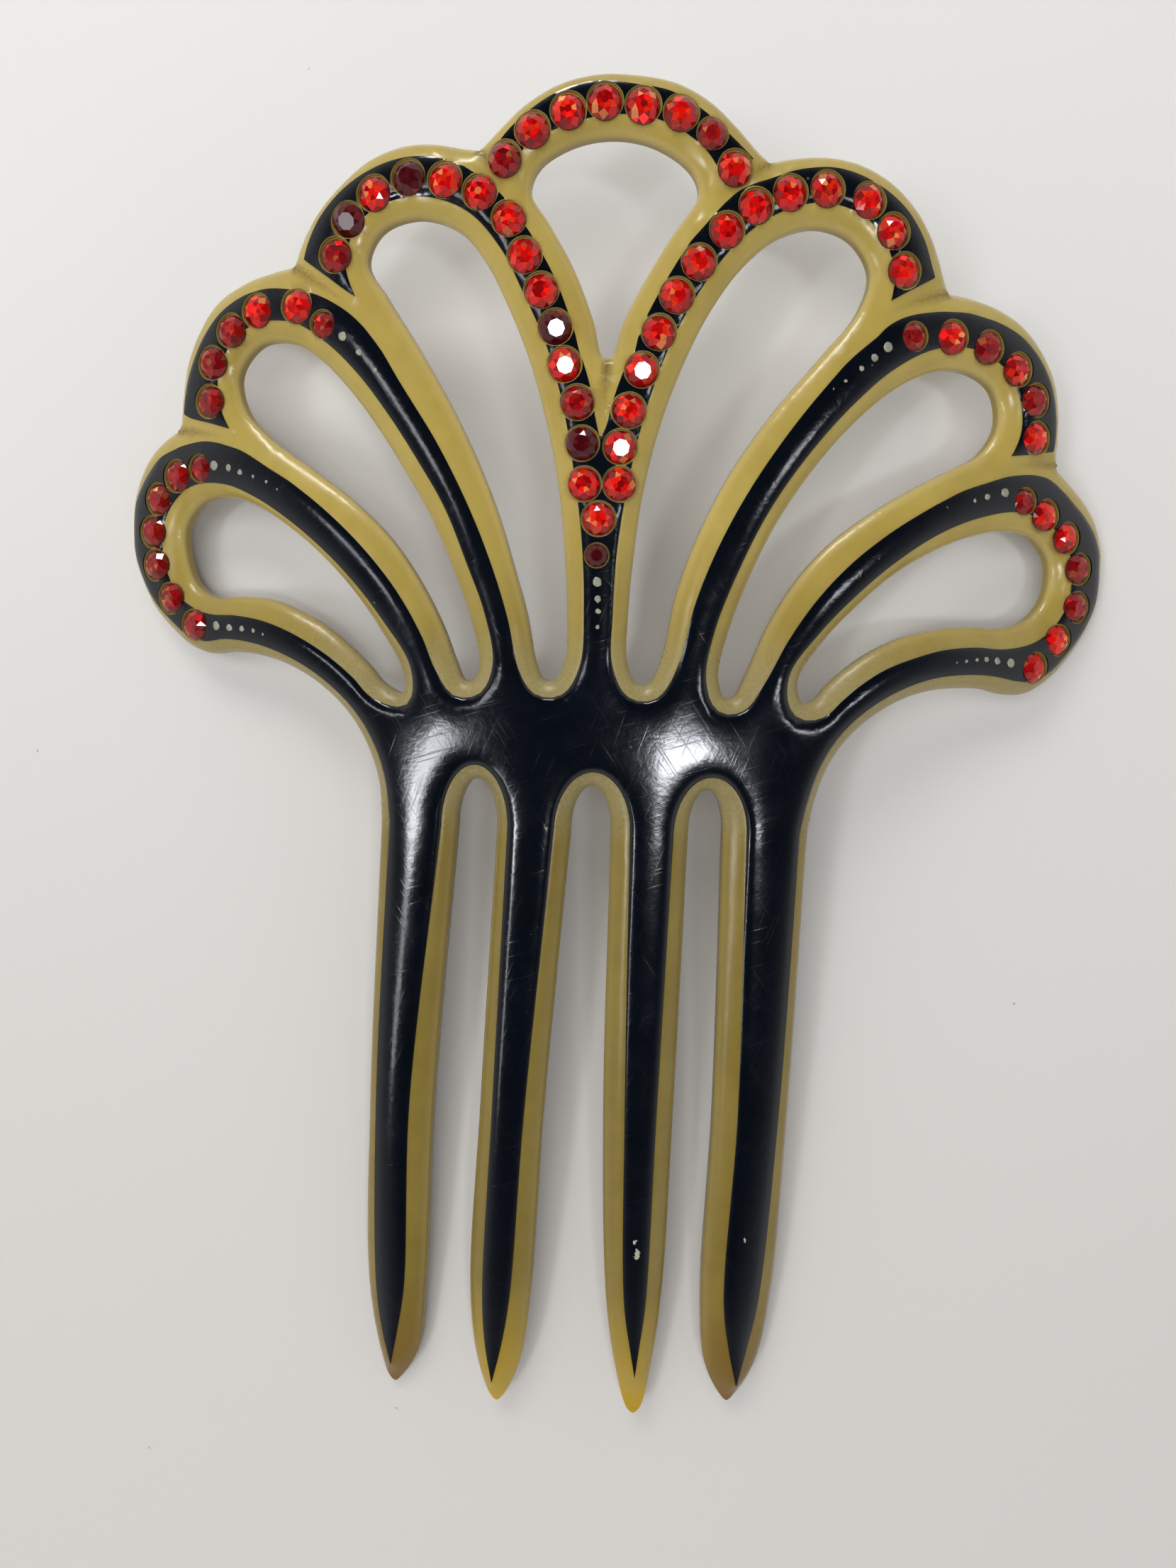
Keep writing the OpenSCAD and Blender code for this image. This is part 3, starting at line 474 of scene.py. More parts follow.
def net(lines, open_lines, places):
    """Triangles over the flat sheet that keep to the lines"""
    edges, start = [], 0
    for group, ends in ((lines, 0), (open_lines, 1)):
        for line in group:
            count = len(line)
            edges += [(start + i, start + (i + 1) % count) for i in range(count - ends)]
            start += count
    # Four corners far outside keep every line of the sheet off the net's own edge
    far = [[-90, -110], [95, -110], [95, 100], [-90, 100]]
    points = np.vstack(lines + open_lines + [places, far])
    made = delaunay_2d_cdt([Vector(p) for p in points], edges, [], 0, 1e-4)
    flat, faces = np.array([tuple(v) for v in made[0]]), np.array(made[2])
    a, b, c = (flat[faces[:, k]] for k in range(3))
    turned = (b[:, 0] - a[:, 0]) * (c[:, 1] - a[:, 1]) < (b[:, 1] - a[:, 1]) * (c[:, 0] - a[:, 0])
    faces[turned] = faces[turned][:, ::-1]
    return flat, faces


def settle(flat, faces, fixed, value, pull=0.0):
    """Smoothest height over a net that keeps its fixed values, drawn towards 1 by the pull"""
    size = len(flat)
    mass, ends, weights = np.zeros(size), [], []
    for k in range(3):
        i, j, o = (faces[:, (k + n) % 3] for n in range(3))
        u, v = flat[i] - flat[o], flat[j] - flat[o]
        area = np.abs(u[:, 0] * v[:, 1] - u[:, 1] * v[:, 0])
        weights.append(np.clip(0.5 * np.sum(u * v, 1) / np.maximum(area, 1e-9), 0.01, 20))
        ends.append((i, j))
        mass += np.bincount(o, area / 6, size)
    i, j = (np.concatenate([e[n] for e in ends] + [e[1 - n] for e in ends]) for n in (0, 1))
    w = np.concatenate(weights * 2)
    whole = np.bincount(i, w, size) + pull * mass
    free = ~fixed & (whole > 0)

    def strain(x):
        return np.where(free, whole * x - np.bincount(i, w * x[j], size), 0)

    # Conjugate gradients, which come to rest in far fewer rounds than the most given here
    x = np.where(fixed, value, 0.5)
    rest = np.where(free, pull * mass, 0) - strain(x)
    step = rest / np.where(free, whole, 1)
    was = np.sum(rest * step)
    for _ in range(1500):
        moved = strain(step)
        share = was / np.sum(step * moved)
        x = x + share * step
        rest = rest - share * moved
        push = rest / np.where(free, whole, 1)
        now = np.sum(rest * push)
        if now < 1e-12:
            break
        step, was = push + now / was * step, now
    return x


def corners_of(faces, size):
    """Which corners of a net some triangles use"""
    hit = np.zeros(size, bool)
    hit[faces.ravel()] = True
    return hit


def sides_of(faces):
    """Directed sides of triangles"""
    return np.vstack([faces[:, [0, 1]], faces[:, [1, 2]], faces[:, [2, 0]]])


def rim_of(faces):
    """Those of their sides that no neighbour shares"""
    sides, size = sides_of(faces), faces.max() + 1
    return sides[~np.isin(sides @ [1, size], sides @ [size, 1])]


def mark(mesh, name, values, domain="POINT"):
    """Give each point or face of a mesh its number or vector, for a pattern or a tree to read"""
    values = np.array(values, float)
    kind, key = ("FLOAT", "value") if values.ndim == 1 else ("FLOAT_VECTOR", "vector")
    mesh.attributes.new(name, kind, domain).data.foreach_set(key, values.ravel())


def sheet_mesh(name, flat, land, heights, pits=np.empty((0, 3), int), floor=0.0, **marks):
    """Closed mesh of a flat sheet in metres: the land on top, walls down through the heights,
    the back, and pits down to their floor, with marks that every height has alike"""
    size, back = len(flat), (len(heights) - 1) * len(flat)
    points = np.vstack([np.column_stack([flat, np.broadcast_to(height, size)])
                        for height in (*heights, floor)])
    rim = rim_of(land)
    sunk = np.isin(rim @ [1, size], sides_of(pits) @ [size, 1])
    a, b = rim[sunk].T
    faces = [land, np.vstack([land, pits])[:, ::-1] + back, pits + back + size,
             np.stack([a + back + size, b + back + size, b, a], 1)]
    a, b = rim[~sunk].T
    for high in range(0, back, size):
        low = high + size
        faces.append(np.stack([a + low, b + low, b + high, a + high], 1))
    # Corners that nothing uses are left out
    used = np.unique(np.concatenate([group.ravel() for group in faces]))
    number = np.zeros(len(points), int)
    number[used] = np.arange(len(used))
    mesh = bpy.data.meshes.new(name)
    mesh.from_pydata((points[used] * mm).tolist(), [],
                     [face for group in faces for face in number[group].tolist()])
    for label, values in marks.items():
        mark(mesh, label, np.resize(values, len(points))[used])
    return mesh


def open_tree(name, **inputs):
    """New geometry tree and the sockets of its named inputs"""
    tree = bpy.data.node_groups.new(name, "GeometryNodeTree")
    tree.interface.new_socket("Geometry", in_out="OUTPUT", socket_type="NodeSocketGeometry")
    for label, kind in {"Geometry": "Geometry", **inputs, "Finish": "Material"}.items():
        tree.interface.new_socket(label.replace("_", " "), in_out="INPUT",
                                  socket_type="NodeSocket" + kind)
    return tree, add(tree, "NodeGroupInput").outputs


def close_tree(tree, given, geometry):
    """End a tree with all instances made real and the finish put on"""
    whole = add(tree, "GeometryNodeRealizeInstances", Geometry=geometry)
    done = add(tree, "GeometryNodeSetMaterial", Geometry=whole, Material=given["Finish"])
    add(tree, "NodeGroupOutput", Geometry=done)


# Bending over the warm former: the flat sheet wraps a round roller and then lies on the paper,
# and each point keeps where it was on the flat sheet for the patterns that follow it
bend, given = open_tree("bend_over_roller", Roller_radius="Float", Crest="Float", Sheet="Float",
                        Tilt="Float", Origin="Vector")
kept = add(bend, "GeometryNodeStoreNamedAttribute", data_type="FLOAT_VECTOR", Name="flat",
           Geometry=given["Geometry"], Value=add(bend, "GeometryNodeInputPosition"))
spot = add(bend, "GeometryNodeInputNamedAttribute", data_type="FLOAT_VECTOR", Name="flat")
axis_in = add(bend, "ShaderNodeSeparateXYZ", Vector=spot).outputs
angle = add(bend, "ShaderNodeMath", operation="SUBTRACT", _0=axis_in["X"], _1=given["Crest"])
angle = add(bend, "ShaderNodeMath", operation="DIVIDE", _0=angle, _1=given["Roller radius"])
radius = add(bend, "ShaderNodeMath", operation="SUBTRACT", _0=given["Roller radius"],
             _1=given["Sheet"])
radius = add(bend, "ShaderNodeMath", operation="ADD", _0=radius, _1=axis_in["Z"])
round_x, round_z = (add(bend, "ShaderNodeMath", operation="MULTIPLY", _1=radius, _0=add(
    bend, "ShaderNodeMath", operation=wave, _0=angle)) for wave in ("SINE", "COSINE"))
wrapped = add(bend, "ShaderNodeCombineXYZ", X=round_x, Y=axis_in["Y"], Z=round_z)
tipped = add(bend, "ShaderNodeVectorRotate", rotation_type="X_AXIS", Vector=wrapped,
             Angle=given["Tilt"])
laid = add(bend, "ShaderNodeVectorMath", operation="SUBTRACT", _0=tipped, _1=given["Origin"])
close_tree(bend, given, add(bend, "GeometryNodeSetPosition", Geometry=kept, Position=laid))


def bent_piece(name, mesh, finish, sharp, *first_trees):
    """Run trees on a flat mesh, bend it and keep the plain mesh that comes of it"""
    piece = put(name, mesh)
    rolled = {"Roller radius": bend_r * mm, "Crest": crest_s * mm, "Sheet": sheet_t * mm,
              "Tilt": tilt, "Origin": [v * mm for v in origin]}
    for tree, inputs in (*first_trees, (bend, rolled)):
        worked = piece.modifiers.new(tree.name, "NODES")
        worked.node_group = tree
        for item in tree.interface.items_tree:
            value = {**inputs, "Finish": finish}.get(item.name)
            if item.in_out == "INPUT" and value is not None:
                worked[item.identifier] = value
    bpy.context.view_layer.update()
    done = bpy.data.meshes.new_from_object(
        piece.evaluated_get(bpy.context.evaluated_depsgraph_get()))
    piece.modifiers.clear()
    piece.data = done
    done.name = name
    done.materials.clear()
    done.materials.append(finish)
    done.polygons.foreach_set("material_index", [0] * len(done.polygons))
    if sharp:
        done.shade_smooth()
        done.set_sharp_from_angle(angle=math.radians(sharp))
    return piece


axes = [through(g[1]) for g in grooves]
# A fine net on the slope, with two rows of points beside its edges, and a wide one under the black
edges = tree_of(np.vstack(horn_lines + black_edges))
near_rows = [clear_of(beside(line, away), edges, gap)
             for line in horn_lines for away, gap in ((0.16, 0.155), (0.42, 0.4))]
on_slope = lattice(0.55, horn_lines, edges, 0.3)
on_slope = on_slope[~in_lines(on_slope, black_lines)]
flat, faces = net(horn_lines + black_edges + circles(pit_share) + circles(ring_share), axes,
                  np.vstack(near_rows + [on_slope, lattice(2.0, black_lines, edges, 1.2)]))
middles = flat[faces].mean(1)
in_horn = in_lines(middles, horn_lines)
in_black = in_horn & in_lines(middles, black_edges)
in_pit = in_horn & in_pits(middles, pit_share)
in_ring = in_horn & ~in_pit & in_pits(middles, ring_share)
slope = faces[in_horn & ~in_black]
on_slope = corners_of(slope, len(flat))
outer = on_slope & corners_of(faces[~in_horn], len(flat))
under = corners_of(faces[in_black], len(flat))
value = np.where(under, 1.0, 0.0)
# Each groove is scraped out along its middle, deepest at the notch, and painted shade follows its
# middle, darkest at the notch
sunk, groove_shade = np.zeros(len(flat), bool), np.zeros(len(flat))
groove_shade_w, groove_reach, notch_height, climb = 0.9, 8, 0.4, 0.5
for axis in axes:
    found = tree_of(axis)
    for k in np.flatnonzero(np.hypot(*(flat - axis.mean(0)).T) < groove_reach):
        _, step, away = found.find((*flat[k], 0))
        groove_shade[k] = math.exp(-(away / groove_shade_w) ** 2) * (1 - 0.7 * step / len(axis))
        if away < 0.01 and not under[k] and not outer[k]:
            value[k] = notch_height + climb * step / len(axis)
            sunk[k] = True
rise = np.clip(settle(flat, slope, outer | under | sunk | ~on_slope, value), 0, 1)
# A nearly straight slope that steepens outwards and is rounded over at the very edge
straight, steeper, rounding = 0.66, 0.34, 0.2
carved = edge_h + (horn_top - edge_h) * (straight * rise + steeper * (1 - (1 - rise) ** 3))
carved -= rounding * (1 - rise) ** 12
# The land under the black is cut a little deeper
land_cut = 0.05
top = np.where(under, horn_top - land_cut, carved)
# Round each pit the drill left a thin ring of horn that stands up a little in the black
ring_rise = 0.14
black_tree = tree_of(np.vstack(black_lines))
for k in np.flatnonzero(corners_of(faces[in_ring], len(flat)) & under):
    top[k] = min(ring_top, horn_top + ring_rise * black_tree.find((*flat[k], 0))[2])
# Rows of corners below the top of the wall and above its foot keep its shading even
wall_top, wall_foot = 0.22, 0.2
horn_mesh = sheet_mesh(
    "horn_sheet", flat, faces[in_horn & ~in_pit], (top, top - wall_top, wall_foot, 0.0),
    faces[in_pit], pit_floor, pit=in_pits(flat, ring_share, 0.02), thin=1 - rise, groove_shade=groove_shade)

# Celluloid laminated in horn colours: translucent olive tan, rubbed and browner on its sawn
# edges, amber where the tips are thin, with fine scratches from wear. Its clouds are 9 mm across,
# its streaks 1 mm wide and 17 mm long, its ripples 2.4 mm apart and its powder 0.4 mm.
horn_look, tree, shader = material("horn_celluloid")
flat_in = add(tree, "ShaderNodeAttribute", attribute_name="flat").outputs["Vector"]
thin_in, groove_shade_in, pit_in = (add(tree, "ShaderNodeAttribute", attribute_name=name).outputs["Fac"]
                            for name in ("thin", "groove_shade", "pit"))
axis_in = add(tree, "ShaderNodeSeparateXYZ", Vector=flat_in).outputs
cloud = add(tree, "ShaderNodeTexNoise", Vector=flat_in, Scale=110.0, Detail=3.0, Roughness=0.6)
clouded = add(tree, "ShaderNodeMapRange", _0=cloud, _1=0.3, _2=0.7)
streaks = add(tree, "ShaderNodeMapping", Vector=flat_in, Scale=(900.0, 60.0, 300.0))
streak = add(tree, "ShaderNodeTexNoise", Vector=streaks, Scale=1.0, Detail=4.0)
# Painted light: lighter where the slope is thin, as light comes through it, above the browner sawn
# wall
lit = add(tree, "ShaderNodeMapRange", _0=thin_in, _1=0.65, _2=0.95, _4=0.45)
walls = add(tree, "ShaderNodeMapRange", _0=axis_in["Z"], _1=0.0007, _2=0.00125, _3=0.6, _4=0.0)
# Painted shade: darker and greener towards the waist and the teeth
painted_waist_shade = add(tree, "ShaderNodeMapRange", interpolation_type="SMOOTHSTEP", _0=axis_in["Y"],
           _1=0.03, _2=-0.004, _4=0.8)
# The outer teeth are browner at their tips than the two between them
tips = add(tree, "ShaderNodeMapRange", _0=axis_in["Y"], _1=-0.074, _2=-0.091, _4=0.9)
from_middle = add(tree, "ShaderNodeMath", operation="ADD", _0=axis_in["X"], _1=0.001)
from_middle = add(tree, "ShaderNodeMath", operation="ABSOLUTE", _0=from_middle)
outer_tooth = add(tree, "ShaderNodeMapRange", _0=from_middle, _1=0.014, _2=0.02)
tip_tone = add(tree, "ShaderNodeMix", data_type="RGBA", _0=outer_tooth, _6=linear("#B09226"),
               _7=linear("#6E4F18"))
# Rubbed grey and dusty round the ends of the holes and between the teeth
low = add(tree, "ShaderNodeMapRange", _0=axis_in["Y"], _1=0.014, _2=0.007)
high = add(tree, "ShaderNodeMapRange", _0=axis_in["Y"], _1=-0.014, _2=-0.008)
powder = add(tree, "ShaderNodeTexNoise", Vector=flat_in, Scale=2600.0, Detail=2.0)
dusty = add(tree, "ShaderNodeMapRange", _0=powder, _1=0.4, _2=0.7, _3=0.22, _4=0.52)
band = add(tree, "ShaderNodeMath", operation="MULTIPLY", _0=low, _1=high)
band = add(tree, "ShaderNodeMath", operation="MULTIPLY", _0=band, _1=dusty)
# Painted shade along the middle of each groove, made uneven by the clouds and the powder
uneven = add(tree, "ShaderNodeMath", operation="ADD", _0=cloud, _1=powder)
painted_groove_shade = add(tree, "ShaderNodeMath", operation="MULTIPLY", _0=groove_shade_in, _1=uneven)
painted_groove_shade = add(tree, "ShaderNodeMapRange", _0=painted_groove_shade, _1=0.35, _2=1.1, _4=0.75)
# Painted shade in and round each drilled pit
painted_pit_shade = add(tree, "ShaderNodeMath", operation="MULTIPLY", _0=pit_in, _1=0.6)
tone = linear("#A38E44")
for amount, blend, colour in (
        (clouded, "MIX", linear("#B29D52")), (0.03, "OVERLAY", streak.outputs["Color"]),
        (lit, "MIX", linear("#C4B071")), (walls, "MIX", linear("#786839")),
        (painted_waist_shade, "MULTIPLY", linear("#ABA790")), (tips, "MIX", tip_tone),
        (band, "MIX", linear("#A09A7C")), (painted_groove_shade, "MIX", linear("#5F4C26")),
        (painted_pit_shade, "MIX", linear("#94793F"))):
    tone = add(tree, "ShaderNodeMix", data_type="RGBA", blend_type=blend, _0=amount, _6=tone,
               _7=colour)
rubbed = add(tree, "ShaderNodeMapRange", _0=streak, _1=0.35, _2=0.7, _3=0.2, _4=0.27)
rubbed = add(tree, "ShaderNodeMix", _0=band, _2=rubbed, _3=0.6)
ripple = add(tree, "ShaderNodeTexNoise", Vector=flat_in, Scale=420.0, Detail=2.0)
buffed = add(tree, "ShaderNodeBump", Strength=0.25, Distance=0.0001, Height=ripple)
scored = add(tree, "ShaderNodeBump", Strength=0.02, Distance=0.00005, Height=streak,
             Normal=buffed)
feed(tree, shader, Base_Color=tone, Roughness=rubbed, Normal=scored, IOR=1.5,
     Subsurface_Weight=0.25, Subsurface_Radius=(1.0, 0.7, 0.25), Subsurface_Scale=0.0012)

horn = bent_piece("horn_sheet", horn_mesh, horn_look, 50)
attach(horn, "root")
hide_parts("horn_base")

# ---- Black face
# Thin sheet of black celluloid pressed on the horn and carved back with it, so that it stands as
# a rounded strip on each petal and tooth and a broad plain field at the waist.
rim_top, rim_foot, dome_h, dome_w = 2.86, 2.7, 0.66, 2.6
# Rows of points beside each edge, where the face turns fastest, and a fine net inside them
edges = tree_of(np.vstack(black_edges))
row_gaps = (0.14, 0.36, 0.7, 1.1)
near_rows = [clear_of(beside(line, side * gap), edges, gap * 0.96)
             for lines, side, gaps in ((black_lines, 1, row_gaps), (groove_lines, -1, row_gaps[:3]))
             for line in lines for gap in gaps]
flat, faces = net(black_edges + circles(ring_share), [],
                  np.vstack(near_rows + [lattice(0.45, black_lines, edges, 1.3)]))
middles = flat[faces].mean(1)
in_black = in_lines(middles, black_edges)


def without_pinches(kept):
    """Triangles without the few that hang on the rest by one corner alone"""
    while True:
        starts, times = np.unique(rim_of(kept)[:, 0], return_counts=True)
        if times.max() < 2:
            return kept
        corner = starts[times > 1][0]
        # The triangles round such a corner fall into fans, and the smallest fan goes
        fans = []
        for face in np.flatnonzero((kept == corner).any(1)):
            ends = set(kept[face]) - {corner}
            joined = [fan for fan in fans if fan[0] & ends]
            fans = [fan for fan in fans if not fan[0] & ends]
            fans.append((ends.union(*[fan[0] for fan in joined]),
                         [face] + [k for fan in joined for k in fan[1]]))
        kept = np.delete(kept, min(fans, key=lambda fan: len(fan[1]))[1], 0)


strip = faces[in_black]
on_strip = corners_of(strip, len(flat))
outer = on_strip & corners_of(faces[~in_black], len(flat))
swell = np.clip(settle(flat, strip, outer | ~on_strip, 0.0, 1 / dome_w ** 2), 0, 1)
# The shoulder is sharpest round the waist and softer along the petals and the teeth
waist_ease, petal_ease, tooth_ease = 0.22, 0.4, 0.3
ease = waist_ease + petal_ease * np.clip((flat[:, 1] - 5) / 12, 0, 1)
ease += tooth_ease * np.clip((-14 - flat[:, 1]) / 14, 0, 1)
face_top = rim_top + dome_h * swell * (1 + ease) / (swell + ease)
# Heights of the face at its corners, for what is painted on it
face_tree, face_height = tree_of(flat[on_strip]), face_top[on_strip]
black_mesh = sheet_mesh("black_sheet", flat, without_pinches(
    faces[in_black & ~in_pits(middles, ring_share)]), (face_top, rim_foot))

# Black celluloid, buffed: deep blue black and glossy, dulled by fine scratches in many
# directions that spread the lights into broad soft patches, with specks of dust. Its haze is
# 6 mm across, and the buffing 0.8 mm.
black_look, tree, shader = material("black_celluloid")
flat_in = add(tree, "ShaderNodeAttribute", attribute_name="flat").outputs["Vector"]
haze = add(tree, "ShaderNodeTexNoise", Vector=flat_in, Scale=160.0, Detail=4.0, Roughness=0.7)
# Scratches are 0.05 mm wide and less, drawn here 0.12 mm wide and 9 mm long so that they show
scratches = 0.0
for turn, across, along in ((0.35, 3200.0, 110.0), (1.25, 3000.0, 130.0), (-0.6, 3400.0, 90.0)):
    turned = add(tree, "ShaderNodeMapping", Vector=flat_in, Rotation=(0.0, 0.0, turn))
    drawn = add(tree, "ShaderNodeMapping", Vector=turned, Scale=(across, along, 1.0))
    fibre = add(tree, "ShaderNodeTexNoise", Vector=drawn, Scale=1.0, Detail=1.0)
    line = add(tree, "ShaderNodeMapRange", _0=fibre, _1=0.64, _2=0.78)
    scratches = add(tree, "ShaderNodeMath", operation="MAXIMUM", _0=scratches, _1=line)
dust = add(tree, "ShaderNodeTexVoronoi", Vector=flat_in, Scale=420.0)
speck = add(tree, "ShaderNodeMapRange", _0=dust, _1=0.04, _2=0.08, _3=0.4, _4=0.0)
rare = add(tree, "ShaderNodeSeparateColor", Color=dust.outputs["Color"])
rare = add(tree, "ShaderNodeMath", operation="GREATER_THAN", _0=rare, _1=0.9)
specks = add(tree, "ShaderNodeMath", operation="MULTIPLY", _0=speck, _1=rare)
# The black is chipped near the tip of the third tooth and nicked on the fourth
ragged = add(tree, "ShaderNodeTexNoise", Vector=flat_in, Scale=1500.0, Detail=2.0)
pulled = add(tree, "ShaderNodeVectorMath", operation="MULTIPLY_ADD", _0=ragged.outputs["Color"],
             _1=(0.0012, 0.0012, 0.0), _2=flat_in)
chips = 0.0
for s, t, reach in ((8.5, -68.2, 0.45), (8.1, -66.4, 0.2), (22.9, -66.4, 0.22)):
    away = add(tree, "ShaderNodeVectorMath", operation="SUBTRACT", _0=pulled,
               _1=(s * mm, t * mm, 0.0))
    away = add(tree, "ShaderNodeVectorMath", operation="MULTIPLY", _0=away, _1=(1.0, 0.6, 0.0))
    away = add(tree, "ShaderNodeVectorMath", operation="LENGTH", _0=away)
    chip = add(tree, "ShaderNodeMath", operation="LESS_THAN", _0=away, _1=reach * mm)
    chips = add(tree, "ShaderNodeMath", operation="MAXIMUM", _0=chips, _1=chip)
tone = linear("#03060C")
for amount, colour in ((haze, "#080D17"), (specks, "#7E827F"), (chips, "#A7A892")):
    tone = add(tree, "ShaderNodeMix", data_type="RGBA", _0=amount, _6=tone, _7=linear(colour))
dulled = add(tree, "ShaderNodeMath", operation="MULTIPLY_ADD", _0=scratches, _1=0.5, _2=haze)
dulled = add(tree, "ShaderNodeMapRange", _0=dulled, _1=0.3, _2=1.1, _3=0.09, _4=0.24)
buffs = add(tree, "ShaderNodeTexNoise", Vector=flat_in, Scale=1300.0, Detail=2.0)
buffed = add(tree, "ShaderNodeBump", Strength=0.3, Distance=0.00004, Height=buffs)
cut = add(tree, "ShaderNodeBump", Strength=0.16, Distance=0.00002, Height=scratches,
          Normal=buffed)
feed(tree, shader, Base_Color=tone, Roughness=dulled, Normal=cut, IOR=1.5, Coat_Weight=0.15,
     Coat_Roughness=0.1)

black = bent_piece("black_sheet", black_mesh, black_look, 50)
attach(black, "root")
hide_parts("black_face")

# ---- Red paste stones
# Round paste chatons of red glass, with an eight sided table and foil on the back, pressed warm
# into drilled pits. Some foils have gone dark or dull, and a few tables catch the lamp.

# Sizes of a stone 1 wide: heights over and under the girdle's middle line, and radii on top
crown_h, edge_top, girdle_h, culet = 0.24, 0.03, 0.06, 0.3
table_r, star_r, girdle_r = 0.26, 0.395, 0.5
seat_h, stone_share = 2.95, 0.97
# Brightness of the foil for each kind of stone in the rows
foil_looks = (0, 0.85, 2, 2, 0, 0)


def ring_at(radius, height, count, shift=0.0):
    """Corners evenly round the stone, turned by a share of their spacing"""
    turn = [2 * math.pi * (k + shift) / count for k in range(count)]
    return [(radius * math.cos(a), radius * math.sin(a), height) for a in turn]


cut_points = (ring_at(0.11, crown_h, 8) + ring_at(table_r, crown_h, 8)
              + ring_at(star_r, crown_h * 0.62, 8, 0.5) + ring_at(girdle_r, edge_top, 16)
              + ring_at(girdle_r, -girdle_h, 16) + [(0, 0, -culet)])
cut_faces = [tuple(range(8))]
for k in range(8):
    n = (k + 1) % 8
    star, star_before = 16 + k, 16 + (k + 7) % 8
    low, low_mid, low_next = 24 + 2 * k, 25 + 2 * k, 24 + (2 * k + 2) % 16
    cut_faces += [(k, 8 + k, 8 + n, n), (8 + k, star, 8 + n), (8 + k, star_before, low, star),
                  (star, low, low_mid), (star, low_mid, low_next)]
for k in range(16):
    n = (k + 1) % 16
    cut_faces += [(24 + k, 40 + k, 40 + n, 24 + n), (40 + k, 56, 40 + n)]
chaton = bpy.data.meshes.new("chaton")
chaton.from_pydata(cut_points, [], cut_faces)
mark(chaton, "facet", range(len(cut_faces)), "FACE")
# How much of the foil's light comes out through each facet: most at the table, least at the rim
mark(chaton, "clear", [0.9] + [1.0, 1.0, 0.75, 0.35, 0.35] * 8 + [0.05] * 32, "FACE")
chaton_piece = put("chaton", chaton)

setting, given = open_tree("set_stones", Stone="Object", Width_share="Float")
one = add(setting, "GeometryNodeObjectInfo", Object=given["Stone"]).outputs["Geometry"]
width = add(setting, "GeometryNodeInputNamedAttribute", data_type="FLOAT", Name="width")
lean = add(setting, "GeometryNodeInputNamedAttribute", data_type="FLOAT_VECTOR", Name="lean")
size = add(setting, "ShaderNodeMath", operation="MULTIPLY", _0=width, _1=given["Width share"])
close_tree(setting, given, add(setting, "GeometryNodeInstanceOnPoints",
                               Points=given["Geometry"], Instance=one, Rotation=lean, Scale=size))

# Red glass over foil: each facet is painted its own fixed part of the stone's red, from maroon to
# orange red, as painted glints, and the polished crown mirrors the lamps
stone_look, tree, shader = material("red_paste")
facet, seed_in, look_in, clear_in = (
    add(tree, "ShaderNodeAttribute", attribute_name=name).outputs["Fac"]
    for name in ("facet", "seed", "look", "clear"))
pair = add(tree, "ShaderNodeCombineXYZ", X=facet, Y=seed_in)
chance = add(tree, "ShaderNodeTexWhiteNoise", noise_dimensions="3D", Vector=pair)
painted_facet_glints = add(tree, "ShaderNodeValToRGB", Fac=chance)
painted_facet_glints.color_ramp.interpolation = "CONSTANT"
painted_facet_glints.color_ramp.elements[0].color = linear("#8E0408")
for stop, colour in ((0.24, "#C8080C"), (0.52, "#F0120E"), (0.8, "#FF3418"), (0.94, "#FF9A58")):
    painted_facet_glints.color_ramp.elements.new(stop).color = linear(colour)
painted_facet_glints.color_ramp.elements.remove(painted_facet_glints.color_ramp.elements[-1])
bright = add(tree, "ShaderNodeMapRange", _0=look_in, _1=0.4, _2=1.6)
tone = add(tree, "ShaderNodeMix", data_type="RGBA", _0=bright, _6=linear("#4A0A12"), _7=painted_facet_glints)
# Painted shade: the facets towards the rim are darker, as less of the foil's light comes out there
tone = add(tree, "ShaderNodeMix", data_type="RGBA", _0=clear_in, _6=linear("#5A1010"), _7=tone)
jitter = add(tree, "ShaderNodeVectorMath", operation="SUBTRACT", _0=chance.outputs["Color"],
             _1=(0.5, 0.5, 0.5))
jitter = add(tree, "ShaderNodeVectorMath", operation="SCALE", _0=jitter, Scale=0.9)
polished = add(tree, "ShaderNodeNewGeometry").outputs["Normal"]
glint = add(tree, "ShaderNodeVectorMath", operation="ADD", _0=polished, _1=jitter)
glint = add(tree, "ShaderNodeVectorMath", operation="NORMALIZE", _0=glint)
feed(tree, shader, Base_Color=tone, Metallic=0.3, Specular_IOR_Level=0.0, Roughness=0.2,
     Normal=glint, Coat_Weight=0.75, Coat_Roughness=0.03, Coat_IOR=1.6, Coat_Normal=polished)


def towards_lamp(s, t, lamp_name):
    """Lean about both axes of the sheet that throws a lamp's light at the camera"""
    turn = Matrix.Rotation(tilt, 3, "X") @ Matrix.Rotation((s - crest_s) / bend_r, 3, "Y")
    spot = turn @ Vector((0, 0, bend_r)) + turn @ Vector((0, t, 0)) - Vector(origin)
    spot = spot * mm
    half = ((camera.location - spot).normalized()
            + (bpy.data.objects[lamp_name].location - spot).normalized())
    half = turn.transposed() @ half
    return -math.atan2(half.y, half.z), math.atan2(half.x, half.z)


